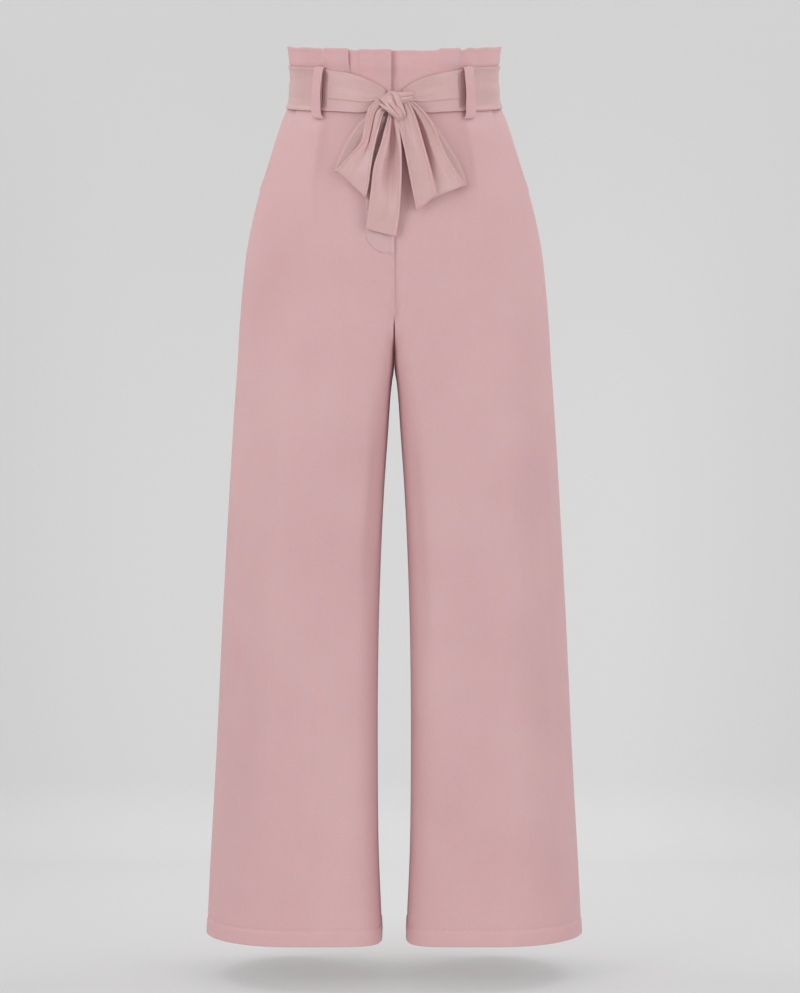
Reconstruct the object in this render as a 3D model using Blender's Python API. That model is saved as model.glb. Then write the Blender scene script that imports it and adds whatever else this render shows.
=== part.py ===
# High-waisted palazzo trousers with a paper-bag waist and a tied sash, filled out as when worn.
# Metres, +Z up. The front faces -Y, and the wearer's left is +X.
# The origin is the middle of the waist opening, half way up the waistband.

import functools
import math

import bmesh
import bpy
import numpy as np

# Cloth and seams
WALL = 0.0015  # wall of the trousers' cloth
PATCH_WALL = 0.0010  # wall of a fly, pocket side or belt loop
SASH_WALL = 0.0016  # wall of the doubled sash on the waist
RIBBON_WALL = 0.0012  # wall of the sash's loops and tails
SEAM_GAP = 0.0003  # two pieces at a seam
HALF_GAP = SEAM_GAP / 2

# Heights, as levels at the side seam
FRILL_TOP = 0.0485
WAIST_SEAM = -0.0190
POCKET_FOOT = -0.1250
FLY_FOOT = -0.2140
CLEFT_TOP = -0.2850  # where the two legs start to part
CROTCH = -0.3390
HEM = -1.0270

# The waist sits lower in front: each ring above the hip drops forward and rises backward by these slopes
FRONT_LEAN = 0.21
BACK_LEAN = 0.11
LEAN_FADE = 0.18  # drop below the waist seam over which the lean dies out

# The body's ring turns into the two legs' rings between these levels, and first at the side
PARTING_TOP = -0.1000
PARTING_FOOT = -0.5000
PARTING_REACH = 5  # how closely the cleft keeps to the centre seam
GAIN_START = 0.3  # a panel's depth is kept up between these shares of its width
GAIN_REACH = 0.85
GAIN_SAMPLES = 23
CLEFT_CURVE = 1.7  # 1 is a straight V, 2 and more a round U

# Rings round the body, from the frill down to the thighs
BODY_COLUMNS = ("level", "half_width", "front_depth", "back_depth")
BODY = (
    (0.0520, 0.1302, 0.0975, 0.0985),
    (0.0400, 0.1290, 0.0964, 0.0978),
    (0.0300, 0.1279, 0.0952, 0.0966),
    (0.0225, 0.1254, 0.0928, 0.0942),
    (0.0000, 0.1252, 0.0925, 0.0940),
    (-0.0190, 0.1275, 0.0940, 0.0960),
    (-0.0290, 0.1322, 0.0970, 0.1000),
    (-0.0390, 0.1365, 0.1000, 0.1030),
    (-0.0510, 0.1406, 0.1025, 0.1065),
    (-0.0750, 0.1482, 0.1055, 0.1130),
    (-0.1000, 0.1560, 0.1078, 0.1185),
    (-0.1490, 0.1695, 0.1108, 0.1262),
    (-0.1980, 0.1795, 0.1130, 0.1290),
    (-0.2470, 0.1848, 0.1148, 0.1270),
    (-0.2950, 0.1888, 0.1158, 0.1225),
    (-0.3440, 0.1915, 0.1160, 0.1185),
    (-0.4170, 0.1964, 0.1145, 0.1155),
    (-0.5000, 0.2012, 0.1134, 0.1143),
)

# Rings round one leg, from the hips down to the hem
LEG_COLUMNS = ("level", "outer", "inner", "front_depth", "back_depth")
LEG = (
    (-0.1000, 0.1560, 0.0000, 0.1078, 0.1185),
    (-0.1490, 0.1695, 0.0000, 0.1108, 0.1262),
    (-0.1980, 0.1795, 0.0000, 0.1130, 0.1290),
    (-0.2850, 0.1880, 0.0000, 0.1158, 0.1235),
    (-0.3390, 0.1911, 0.0000, 0.1160, 0.1190),
    (-0.3680, 0.1932, 0.0037, 0.1155, 0.1170),
    (-0.4170, 0.1964, 0.0073, 0.1145, 0.1155),
    (-0.4900, 0.2007, 0.0122, 0.1135, 0.1145),
    (-0.6370, 0.2086, 0.0183, 0.1125, 0.1130),
    (-0.8320, 0.2178, 0.0200, 0.1122, 0.1125),
    (-0.9300, 0.2233, 0.0188, 0.1128, 0.1128),
    (-1.0270, 0.2281, 0.0146, 0.1130, 0.1130),
)

# Soft folds in the legs. u is 0 at the side seam and 1 at the centre seam or inseam.
FOLD_RISE = 0.10  # share of its length over which a fold rises
FOLD_HOLD = 0.35  # share of its length after which it fades
FOLD_COLUMNS = ("face", "side", "top", "foot", "u_top", "u_foot", "outer_spread", "inner_spread", "height")
FOLDS = (
    (-1, -1, -0.025, -0.260, 0.560, 0.640, 0.13, 0.040, 0.0070),
    (-1, 1, -0.025, -0.250, 0.560, 0.610, 0.12, 0.045, 0.0060),
    (1, -1, -0.025, -0.210, 0.520, 0.560, 0.14, 0.040, 0.0042),
    (1, 1, -0.025, -0.220, 0.520, 0.560, 0.14, 0.040, 0.0042),
    (-1, -1, -0.400, -1.120, 0.440, 0.400, 0.12, 0.120, 0.0032),
    (-1, 1, -0.420, -1.120, 0.430, 0.410, 0.12, 0.110, 0.0030),
    (1, -1, -0.380, -1.100, 0.460, 0.420, 0.12, 0.120, 0.0034),
    (1, 1, -0.400, -1.130, 0.450, 0.430, 0.12, 0.120, 0.0032),
    (-1, -1, -0.620, -1.150, 0.760, 0.720, 0.06, 0.070, 0.0018),
    (-1, 1, -0.600, -1.150, 0.740, 0.730, 0.07, 0.060, 0.0020),
    (1, -1, -0.560, -1.150, 0.750, 0.740, 0.07, 0.070, 0.0022),
    (1, 1, -0.580, -1.150, 0.760, 0.730, 0.07, 0.070, 0.0022),
)

# The pocket mouth, as degrees round from the side seam
POCKET_COLUMNS = ("level", "degrees")
POCKET = (
    (-0.0190, 27.0),
    (-0.0480, 24.5),
    (-0.0750, 19.5),
    (-0.1000, 12.0),
    (-0.1250, 1.6),
)
POCKET_BAR = 0.0012  # height of the closed end of the mouth
POCKET_UNDERLAP = 0.11  # share of the front's width that the side piece runs under it
POCKET_SINK = 0.0028  # how far it lies under the front's outside, clear of its wall
POCKET_SHARES = (0.0, 0.35, 0.7, 0.92)  # places across the strip that shows
POCKET_UNDER_SHARES = (0.25, 0.6, 1.0)  # and across the part under the front

FLY_WIDTH = 0.033
FLY_CURVE = 0.025  # height of the curve at its foot
FLY_TIP = 0.003  # width left at its lowest point
FLY_LIFT = 0.0006  # clear of the facets of the front
FLY_ROWS = 8  # in its straight part
FLY_CURVE_ROWS = 6
FLY_STEPS = 4

# Knife pleats of the frill, in degrees round from centre front, +90 at the wearer's left
PLEAT_COLUMNS = ("foot", "crest_start", "crest_end", "far_foot", "height")
PLEATS_RIGHT = (
    (-41.5, -38.5, -24.8, -23.4, 0.0028),
    (-20.5, -17.5, 5.0, 8.0, 0.0016),
)
PLEATS_LEFT = ((22.5, 25.0, 36.2, 37.6, 0.0028),)
PLEATS_BACK = (
    (116.0, 119.0, 129.0, 130.4, 0.0026),
    (142.0, 145.0, 156.0, 157.4, 0.0028),
    (202.6, 204.0, 215.0, 218.0, 0.0028),
    (229.6, 231.0, 241.0, 244.0, 0.0026),
)
PLEAT_LEVELS = (0.0262, 0.0370)  # pleats are pressed flat below the first and full above the second
PLEAT_RISE = 0.8  # a raised pleat's edge stands this much of its height above the rest
OVERLAP_EDGE = -1.6  # the right front ends here, in degrees, on top of the left front
UNDERLAP_EDGE = -9.0  # the left front runs on to here
UNDERLAP_RAMP = (1.5, 11.0)  # and rises to its own level between these

# The sash, from its upper to its lower edge
SASH_TOP = 0.0270
SASH_FOOT = -0.0240
SASH_SPLIT = 42.6  # degrees from centre front, under the front belt loops
SASH_PROFILE_COLUMNS = ("across", "plain", "drawn")
SASH_PROFILE = (
    (0.00, 0.0024, 0.0024),
    (0.16, 0.0029, 0.0040),
    (0.36, 0.0032, 0.0058),
    (0.56, 0.0033, 0.0070),
    (0.66, 0.0032, 0.0071),
    (0.76, 0.0030, 0.0046),
    (0.88, 0.0027, 0.0042),
    (1.00, 0.0025, 0.0038),
)
SASH_FRONT_COLUMNS = ("degrees", "top", "foot", "drawn")
SASH_FRONT = (
    (42.6, 0.0270, -0.0238, 0.15),
    (36.5, 0.0245, -0.0236, 0.60),
    (25.8, 0.0222, -0.0243, 1.00),
    (15.4, 0.0160, -0.0243, 1.00),
    (8.6, 0.0092, -0.0195, 1.00),
    (4.6, 0.0030, -0.0150, 1.00),
)

# Belt loops stand off the sash
LOOP_WIDTH = 0.0136
LOOP_FOOT_TURN = 2.8  # degrees that a loop's foot lies nearer the middle of its face than its top
LOOP_ANGLES = {"front_right": -42.6, "front_left": 42.6, "back_right": 224.0, "back_left": 136.0}
LOOP_PATH_COLUMNS = ("level", "lift")
LOOP_PATH = (
    (0.0290, 0.0006),
    (0.0268, 0.0040),
    (0.0180, 0.0080),
    (0.0000, 0.0096),
    (-0.0160, 0.0090),
    (-0.0268, 0.0062),
    (-0.0312, 0.0030),
    (-0.0322, 0.0006),
)

# Ribbons of the bow. Each row is one section: its two edges, and how far they stand off the trousers.
# A crease of the given depth lies at the given place across the section.
RIBBON_COLUMNS = ("left_x", "left_z", "left_off", "right_x", "right_z", "right_off", "crease", "crease_at")
BOW_LOOP_RIGHT = (
    (-0.0190, -0.0300, 0.0085, -0.0110, -0.0420, 0.0085, 0.0000, 0.50),
    (-0.0299, -0.0424, 0.0120, -0.0188, -0.0477, 0.0130, 0.0010, 0.50),
    (-0.0346, -0.0658, 0.0140, -0.0235, -0.0658, 0.0165, 0.0015, 0.50),
    (-0.0387, -0.0834, 0.0142, -0.0253, -0.0881, 0.0172, 0.0010, 0.45),
    (-0.0505, -0.0964, 0.0138, -0.0264, -0.1104, 0.0165, 0.0000, 0.45),
    (-0.0622, -0.1093, 0.0122, -0.0293, -0.1327, 0.0140, -0.0010, 0.50),
    (-0.0690, -0.1138, 0.0088, -0.0329, -0.1474, 0.0094, -0.0008, 0.50),
    (-0.0675, -0.1046, 0.0052, -0.0317, -0.1363, 0.0050, 0.0000, 0.50),
    (-0.0628, -0.0917, 0.0040, -0.0293, -0.1151, 0.0040, 0.0000, 0.50),
    (-0.0540, -0.0752, 0.0040, -0.0258, -0.0917, 0.0040, 0.0000, 0.50),
    (-0.0428, -0.0588, 0.0050, -0.0211, -0.0682, 0.0052, 0.0000, 0.50),
    (-0.0300, -0.0480, 0.0072, -0.0164, -0.0506, 0.0072, 0.0000, 0.50),
)
BOW_LOOP_LEFT = (
    (0.0130, -0.0420, 0.0085, 0.0200, -0.0320, 0.0085, 0.0000, 0.40),
    (0.0153, -0.0541, 0.0130, 0.0317, -0.0412, 0.0120, 0.0020, 0.40),
    (0.0200, -0.0764, 0.0155, 0.0458, -0.0611, 0.0145, 0.0040, 0.38),
    (0.0258, -0.1010, 0.0160, 0.0559, -0.0864, 0.0150, 0.0030, 0.35),
    (0.0317, -0.1245, 0.0155, 0.0657, -0.1063, 0.0145, 0.0012, 0.35),
    (0.0376, -0.1433, 0.0130, 0.0775, -0.1234, 0.0125, 0.0000, 0.50),
    (0.0411, -0.1503, 0.0090, 0.0836, -0.1312, 0.0088, -0.0005, 0.50),
    (0.0399, -0.1386, 0.0050, 0.0845, -0.1222, 0.0052, 0.0000, 0.50),
    (0.0352, -0.1128, 0.0040, 0.0763, -0.1022, 0.0040, 0.0000, 0.50),
    (0.0282, -0.0893, 0.0040, 0.0657, -0.0858, 0.0040, 0.0000, 0.50),
    (0.0211, -0.0658, 0.0052, 0.0528, -0.0658, 0.0046, 0.0000, 0.50),
    (0.0150, -0.0500, 0.0075, 0.0380, -0.0490, 0.0070, 0.0000, 0.50),
)
SASH_TAIL_LONG = (
    (-0.0045, -0.0460, 0.0102, 0.0035, -0.0460, 0.0102, 0.0000, 0.60),
    (-0.0058, -0.0580, 0.0138, 0.0035, -0.0580, 0.0130, 0.0006, 0.60),
    (-0.0100, -0.0694, 0.0200, 0.0059, -0.0694, 0.0175, 0.0050, 0.62),
    (-0.0156, -0.0870, 0.0235, 0.0085, -0.0905, 0.0195, 0.0085, 0.62),
    (-0.0235, -0.1128, 0.0240, 0.0088, -0.1210, 0.0195, 0.0090, 0.62),
    (-0.0270, -0.1410, 0.0205, 0.0075, -0.1480, 0.0175, 0.0065, 0.60),
    (-0.0296, -0.1621, 0.0165, 0.0059, -0.1691, 0.0145, 0.0030, 0.60),
    (-0.0324, -0.1846, 0.0125, 0.0023, -0.1932, 0.0115, 0.0005, 0.60),
)
SASH_TAIL_SHORT = (
    (0.0055, -0.0440, 0.0104, 0.0145, -0.0320, 0.0104, 0.0000, 0.50),
    (0.0080, -0.0590, 0.0158, 0.0215, -0.0460, 0.0148, 0.0006, 0.45),
    (0.0105, -0.0740, 0.0215, 0.0288, -0.0650, 0.0195, 0.0022, 0.40),
    (0.0135, -0.0950, 0.0235, 0.0355, -0.0890, 0.0215, 0.0025, 0.35),
    (0.0182, -0.1222, 0.0230, 0.0428, -0.1151, 0.0210, 0.0015, 0.35),
    (0.0264, -0.1635, 0.0185, 0.0496, -0.1447, 0.0190, 0.0005, 0.50),
)

# The knot: a plump wrap that runs from upper left to lower right
KNOT_CENTRE_X = -0.0010
KNOT_CENTRE_Z = -0.0385
KNOT_OFF = 0.0230  # centre, out from the trousers
KNOT_HALF_WIDTH = 0.0126
KNOT_HALF_LENGTH = 0.0186
KNOT_HALF_DEPTH = 0.0086
KNOT_LEAN = 33.0  # degrees
KNOT_GROOVES = 3
KNOT_GROOVE_DEPTH = 0.0009
KNOT_GROOVE_TWIST = 1.2  # radians from the middle to an end
KNOT_SHOULDER = 0.10  # extra width half way to each end

# Finding a point of the front that is seen at a place
FRONT_ROUNDS = 6
WIDEST_RATIO = 0.98  # places nearer the side than this are taken as here

# Mesh steps
WAIST_CROWDING = 1.35  # above 1, rows lie closer under the waist seam
CLEFT_CROWDING = 0.75  # below 1, rows lie closer at the crotch
LEG_STEPS = 12
HIP_LEVELS = 6
POCKET_LEVELS = 8
CLEFT_LEVELS = 5
THIGH_LEVELS = 4
SHIN_LEVELS = 8
THIGH_FOOT = -0.4600
RING_STEP = 9.0  # widest step round the waist, degrees
FRILL_SHARES = (0.0, 0.28, 0.52, 0.63, 0.70, 0.82, 1.0)  # rows from the waist seam to the frill's edge
SASH_SHARES = (0.0, 0.25, 0.5, 0.75, 1.0)
SASH_FRONT_STEPS = 9
LOOP_ROWS = 14
LOOP_STEPS = 3
RIBBON_ROWS_PER_SECTION = 3
RIBBON_STEPS = 6
KNOT_SEGMENTS = 20
KNOT_RINGS = 14

# Finishes, linear colour with roughness
CREPE = ("crepe", (0.620, 0.385, 0.380, 1.0), 0.62)
SASH_SATIN = ("sash_crepe", (0.650, 0.430, 0.420, 1.0), 0.48)


def clear_scene():
    for old in list(bpy.data.objects):
        bpy.data.objects.remove(old, do_unlink=True)


def make_collection(name):
    collection = bpy.data.collections.new(name)
    bpy.context.scene.collection.children.link(collection)
    return collection


def make_material(piece, finish):
    label, colour, roughness = finish
    material = bpy.data.materials.new(f"{piece}_{label}")
    material.use_nodes = True
    shader = material.node_tree.nodes["Principled BSDF"]
    shader.inputs["Base Color"].default_value = colour
    shader.inputs["Roughness"].default_value = roughness
    shader.inputs["Metallic"].default_value = 0.0
    return material


def smooth_step(value):
    value = min(max(value, 0.0), 1.0)
    return value * value * (3 - 2 * value)


def column(table, columns, name):
    return np.array([row[columns.index(name)] for row in table], dtype=float)


def read(table, columns, name, key_name, key):
    # A smooth curve through one column of a table, read at a value of its key column
    keys = column(table, columns, key_name)
    values = column(table, columns, name)
    if keys[0] > keys[-1]:
        keys, values = keys[::-1], values[::-1]
    key = min(max(key, keys[0]), keys[-1])
    slopes = np.gradient(values, keys)
    left = min(int(np.searchsorted(keys, key, side="right")) - 1, len(keys) - 2)
    span = keys[left + 1] - keys[left]
    t = (key - keys[left]) / span
    return (
        (2 * t**3 - 3 * t**2 + 1) * values[left]
        + (t**3 - 2 * t**2 + t) * span * slopes[left]
        + (3 * t**2 - 2 * t**3) * values[left + 1]
        + (t**3 - t**2) * span * slopes[left + 1]
    )


def body(name, level):
    return read(BODY, BODY_COLUMNS, name, "level", level)


def leg(name, level):
    return read(LEG, LEG_COLUMNS, name, "level", level)


def depth_name(face):
    return "front_depth" if face < 0 else "back_depth"


def leaned(level, y):
    # The height of a point of the ring of this level
    slope = FRONT_LEAN if y < 0 else BACK_LEAN
    return level + slope * y * (1 - smooth_step((WAIST_SEAM - level) / LEAN_FADE))


def legs_apart(u, level):
    # From 0 on the body's ring to 1 on the leg's own ring. At the centre seam it follows the cleft.
    drop = min(max((CLEFT_TOP - level) / (CLEFT_TOP - CROTCH), 0.0), 1.0)
    at_centre = drop**CLEFT_CURVE
    at_side = smooth_step((PARTING_TOP - level) / (PARTING_TOP - PARTING_FOOT))
    return at_side + (at_centre - at_side) * u**PARTING_REACH


def ellipse(half_width, depth, angle):
    # A point and its outward normal. The angle starts at the side and turns to the front or back.
    point = np.array((half_width * math.cos(angle), depth * math.sin(angle)))
    normal = np.array((math.cos(angle) / half_width, math.sin(angle) / depth))
    return point, normal / np.linalg.norm(normal)


def fold_lift(side, face, u, level):
    lift = 0.0
    for row in FOLDS:
        fold = dict(zip(FOLD_COLUMNS, row))
        if fold["face"] != face or fold["side"] != side:
            continue
        along = (fold["top"] - level) / (fold["top"] - fold["foot"])
        if not 0 < along < 1:
            continue
        middle = fold["u_top"] + (fold["u_foot"] - fold["u_top"]) * along
        spread = fold["outer_spread"] if u < middle else fold["inner_spread"]
        strength = smooth_step(along / FOLD_RISE) * (1 - smooth_step((along - FOLD_HOLD) / (1 - FOLD_HOLD)))
        lift += fold["height"] * strength * math.exp(-(((u - middle) / spread) ** 2))
    return lift


def parting_ring(face, u, level):
    # A point and normal on the ring that turns from the body's into the leg's
    hip, hip_normal = ellipse(body("half_width", level), body(depth_name(face), level), u * math.pi / 2)
    outer, inner = leg("outer", level), leg("inner", level)
    tube, tube_normal = ellipse((outer - inner) / 2, leg(depth_name(face), level), u * math.pi)
    tube[0] += (outer + inner) / 2
    apart = legs_apart(u, level)
    normal = (1 - apart) * hip_normal + apart * tube_normal
    return (1 - apart) * hip + apart * tube, normal / np.linalg.norm(normal)


@functools.lru_cache(maxsize=None)
def depth_gain(face, level):
    # Keeps the parting ring as deep as the rings above and below it
    at_side = legs_apart(0.0, level)
    wanted = body(depth_name(face), level) * (1 - at_side) + leg(depth_name(face), level) * at_side
    wanted *= math.sin(GAIN_REACH * math.pi / 2) * (1 - at_side) + at_side
    shares = np.linspace(GAIN_START, GAIN_REACH, GAIN_SAMPLES)
    return wanted / max(parting_ring(face, u, level)[0][1] for u in shares)


def share_at(face, x, level):
    # The share of a panel's width, as u, at which it lies this far from the centre line
    shares = np.linspace(1, 0.5, GAIN_SAMPLES)
    return np.interp(x, [parting_ring(face, u, level)[0][0] for u in shares], shares)


def leg_point(side, face, u, level, lift):
    # A point of one leg's cloth, moved out by lift. u is 0 at the side seam, 1 at the centre seam or inseam.
    point, normal = parting_ring(face, u, level)
    point[1] *= 1 + (depth_gain(face, level) - 1) * (1 - u**PARTING_REACH)
    x, y = point + normal * (lift + fold_lift(side, face, u, level))
    x = side * max(x, HALF_GAP)
    y = face * max(y, HALF_GAP)
    return np.array((x, y, leaned(level, y)))


def waist_point(degrees, level, lift):
    # A point round the waist, moved out by lift, by degrees from centre front
    turn = math.radians(degrees)
    depth = body("front_depth" if math.cos(turn) > 0 else "back_depth", level)
    half_width = body("half_width", level)
    point = np.array((half_width * math.sin(turn), -depth * math.cos(turn)))
    normal = np.array((math.sin(turn) / half_width, -math.cos(turn) / depth))
    x, y = point + normal / np.linalg.norm(normal) * lift
    return np.array((x, y, leaned(level, y)))


def front_point(x, z, off):
    # The point that stands off the front of the trousers at a place seen from the front
    y = 0.0
    level = z
    for _ in range(FRONT_ROUNDS):
        level += z - leaned(level, y)
        ratio = min(abs(x) / body("half_width", level), WIDEST_RATIO)
        y = -(body("front_depth", level) * math.sqrt(1 - ratio * ratio)) - off
    return np.array((x, y, z))


def loft_solid(name, outer, inner, finish, collection):
    # Closes two grids of points, one the outside and one the inside of a piece of cloth, along their rims
    rows, steps = outer.shape[:2]
    mesh = bpy.data.meshes.new(name)
    shape = bmesh.new()
    outside = [[shape.verts.new(outer[i, j]) for j in range(steps)] for i in range(rows)]
    inside = [[shape.verts.new(inner[i, j]) for j in range(steps)] for i in range(rows)]
    for i in range(rows - 1):
        for j in range(steps - 1):
            shape.faces.new((outside[i][j], outside[i + 1][j], outside[i + 1][j + 1], outside[i][j + 1]))
            shape.faces.new((inside[i][j], inside[i][j + 1], inside[i + 1][j + 1], inside[i + 1][j]))
    rim = [(0, j) for j in range(steps)] + [(i, steps - 1) for i in range(1, rows)]
    rim += [(rows - 1, j) for j in range(steps - 2, -1, -1)] + [(i, 0) for i in range(rows - 2, 0, -1)]
    for here, there in zip(rim, rim[1:] + rim[:1]):
        (a, b), (c, d) = here, there
        shape.faces.new((outside[a][b], outside[c][d], inside[c][d], inside[a][b]))
    bmesh.ops.recalc_face_normals(shape, faces=shape.faces)
    bmesh.ops.triangulate(shape, faces=shape.faces)
    shape.to_mesh(mesh)
    shape.free()
    mesh.shade_smooth()
    mesh.materials.append(make_material(name, finish))
    piece = bpy.data.objects.new(name, mesh)
    collection.objects.link(piece)
    return piece


def sheet_solid(name, place, rows, finish, collection, wall, lift=0.0):
    # rows is a list of lists of (across, along) places; place(across, along, lift) gives the point
    outer = np.array([[place(a, b, lift + wall) for a, b in row] for row in rows])
    inner = np.array([[place(a, b, lift) for a, b in row] for row in rows])
    return loft_solid(name, outer, inner, finish, collection)


def panel_levels():
    waist = np.linspace(0, 1, POCKET_LEVELS + 1) ** WAIST_CROWDING
    waist = (WAIST_SEAM - HALF_GAP) + waist * (POCKET_FOOT - WAIST_SEAM + HALF_GAP)
    hip = np.linspace(POCKET_FOOT, CLEFT_TOP, HIP_LEVELS + 1)[1:]
    hip = [POCKET_FOOT - POCKET_BAR, *hip]
    cleft = CLEFT_TOP + (CROTCH - CLEFT_TOP) * np.linspace(0, 1, CLEFT_LEVELS + 1)[1:] ** CLEFT_CROWDING
    thigh = np.linspace(CROTCH, THIGH_FOOT, THIGH_LEVELS + 1)[1:]
    shin = np.linspace(THIGH_FOOT, HEM, SHIN_LEVELS + 1)[1:]
    return [*waist, *hip, *cleft, *thigh, *shin]


def pocket_edge(level):
    # Where the pocket mouth runs, as u on the front panel
    return read(POCKET, POCKET_COLUMNS, "degrees", "level", level) / 90 if level >= POCKET_FOOT else 0.0


def make_legs(collection):
    for side, hand in ((-1, "right"), (1, "left")):
        for face, name in ((-1, "front"), (1, "back")):
            rows = []
            for level in panel_levels():
                start = pocket_edge(level) if face < 0 else 0.0
                rows.append([(u, level) for u in np.linspace(start, 1, LEG_STEPS + 1)])

            def place(u, level, lift, side=side, face=face):
                return leg_point(side, face, u, level, lift)

            sheet_solid(f"{name}_{hand}", place, rows, CREPE, collection, WALL, lift=-WALL)


def make_pocket_sides(collection):
    # Level with the panels at the side seam, and sunk under the front at the mouth
    deepest = POCKET_SHARES[-1]
    for side, hand in ((-1, "right"), (1, "left")):
        rows = []
        for level in panel_levels()[: POCKET_LEVELS + 1]:
            edge = pocket_edge(level)
            row = [(share * edge, level, -POCKET_SINK * smooth_step(share / deepest)) for share in POCKET_SHARES]
            row += [(edge + share * POCKET_UNDERLAP, level, -POCKET_SINK) for share in POCKET_UNDER_SHARES]
            rows.append(row)
        outer = np.array([[leg_point(side, -1, u, level, lift) for u, level, lift in row] for row in rows])
        inner = [[leg_point(side, -1, u, level, lift - PATCH_WALL) for u, level, lift in row] for row in rows]
        loft_solid(f"pocket_side_{hand}", outer, np.array(inner), CREPE, collection)


def make_fly(collection):
    # A shaped patch on the right front, level with the centre seam, with a quarter-round foot
    straight = np.linspace(WAIST_SEAM - SEAM_GAP, FLY_FOOT + FLY_CURVE, FLY_ROWS)
    outline = [(level, FLY_WIDTH) for level in straight]
    for turn in np.linspace(0, math.pi / 2, FLY_CURVE_ROWS + 1)[1:]:
        width = FLY_TIP + (FLY_WIDTH - FLY_TIP) * math.cos(turn)
        outline.append((FLY_FOOT + FLY_CURVE * (1 - math.sin(turn)), width))
    rows = []
    for level, width in outline:
        start = share_at(-1, width, level)
        rows.append([(u, level) for u in np.linspace(start, 1, FLY_STEPS + 1)])

    def place(u, level, lift):
        return leg_point(-1, -1, u, level, lift)

    sheet_solid("fly", place, rows, CREPE, collection, PATCH_WALL, lift=FLY_LIFT)


def pleat_lift(pleats, degrees, level):
    lift = 0.0
    for row in pleats:
        pleat = dict(zip(PLEAT_COLUMNS, row))
        rise = (degrees - pleat["foot"]) / (pleat["crest_start"] - pleat["foot"])
        fall = (pleat["far_foot"] - degrees) / (pleat["far_foot"] - pleat["crest_end"])
        lift += pleat["height"] * smooth_step(min(rise, fall, 1.0))
    low, high = PLEAT_LEVELS
    return lift * smooth_step((level - low) / (high - low))


def cloth_lift(degrees, level):
    # How far the frill's pleats or the legs' folds raise the cloth at a place round the waist
    turn = math.radians(degrees)
    side = 1 if math.sin(turn) > 0 else -1
    face = -1 if math.cos(turn) > 0 else 1
    u = math.acos(min(abs(math.sin(turn)), 1.0)) * 2 / math.pi
    return pleat_lift(PLEATS_RIGHT + PLEATS_LEFT + PLEATS_BACK, degrees, level) + fold_lift(side, face, u, level)


def ring_stops(start, end, pleats):
    # Places round the ring: every corner of each pleat, and even steps between
    corners = {start, end}
    for row in pleats:
        corners.update(angle for angle in row[:4] if start < angle < end)
    corners = sorted(corners)
    stops = [corners[0]]
    for low, high in zip(corners, corners[1:]):
        count = max(1, math.ceil((high - low) / RING_STEP))
        stops += [low + (high - low) * step / count for step in range(1, count + 1)]
    return stops


def make_waistband(collection):
    side_gap = math.degrees(HALF_GAP / body("front_depth", 0.0))
    bands = (
        ("waistband_front_right", -90 + side_gap, OVERLAP_EDGE, PLEATS_RIGHT),
        ("waistband_front_left", UNDERLAP_EDGE, 90 - side_gap, PLEATS_LEFT),
        ("waistband_back", 90 + side_gap, 270 - side_gap, PLEATS_BACK),
    )
    for name, start, end, pleats in bands:

        def place(degrees, share, lift, name=name, pleats=pleats):
            top = FRILL_TOP + PLEAT_RISE * pleat_lift(pleats, degrees, FRILL_TOP)
            low = WAIST_SEAM + HALF_GAP
            level = low + (top - low) * share
            lift += pleat_lift(pleats, degrees, level)
            if name == "waistband_front_left":
                flat, full = UNDERLAP_RAMP
                lift -= (WALL + SEAM_GAP) * (1 - smooth_step((degrees - flat) / (full - flat)))
            return waist_point(degrees, level, lift)

        rows = [[(degrees, share) for degrees in ring_stops(start, end, pleats)] for share in FRILL_SHARES]
        sheet_solid(name, place, rows, CREPE, collection, WALL, lift=-WALL)


def sash_lift(across, drawn):
    plain = read(SASH_PROFILE, SASH_PROFILE_COLUMNS, "plain", "across", across)
    full = read(SASH_PROFILE, SASH_PROFILE_COLUMNS, "drawn", "across", across)
    return plain + (full - plain) * drawn


def make_sash(collection):
    split_gap = math.degrees(HALF_GAP / body("front_depth", 0.0))

    def back_place(degrees, across, lift):
        level = SASH_TOP + (SASH_FOOT - SASH_TOP) * across
        return waist_point(degrees, level, lift + sash_lift(across, 0.0))

    stops = ring_stops(SASH_SPLIT + split_gap, 360 - SASH_SPLIT - split_gap, ())
    rows = [[(degrees, share) for degrees in stops] for share in SASH_SHARES]
    sheet_solid("sash_back", back_place, rows, SASH_SATIN, collection, SASH_WALL, lift=-SASH_WALL)

    start = SASH_SPLIT - split_gap
    end = SASH_FRONT[-1][0]
    for side, hand in ((-1, "right"), (1, "left")):

        def front_place(degrees, across, lift, side=side):
            top = read(SASH_FRONT, SASH_FRONT_COLUMNS, "top", "degrees", degrees)
            foot = read(SASH_FRONT, SASH_FRONT_COLUMNS, "foot", "degrees", degrees)
            drawn = read(SASH_FRONT, SASH_FRONT_COLUMNS, "drawn", "degrees", degrees)
            lift += sash_lift(across, drawn)
            return waist_point(side * degrees, top + (foot - top) * across, lift)

        shares = column(SASH_PROFILE, SASH_PROFILE_COLUMNS, "across")
        stops = np.linspace(start, end, SASH_FRONT_STEPS + 1)
        rows = [[(degrees, share) for degrees in stops] for share in shares]
        name = f"sash_front_{hand}"
        sheet_solid(name, front_place, rows, SASH_SATIN, collection, SASH_WALL, lift=-SASH_WALL)


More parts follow.
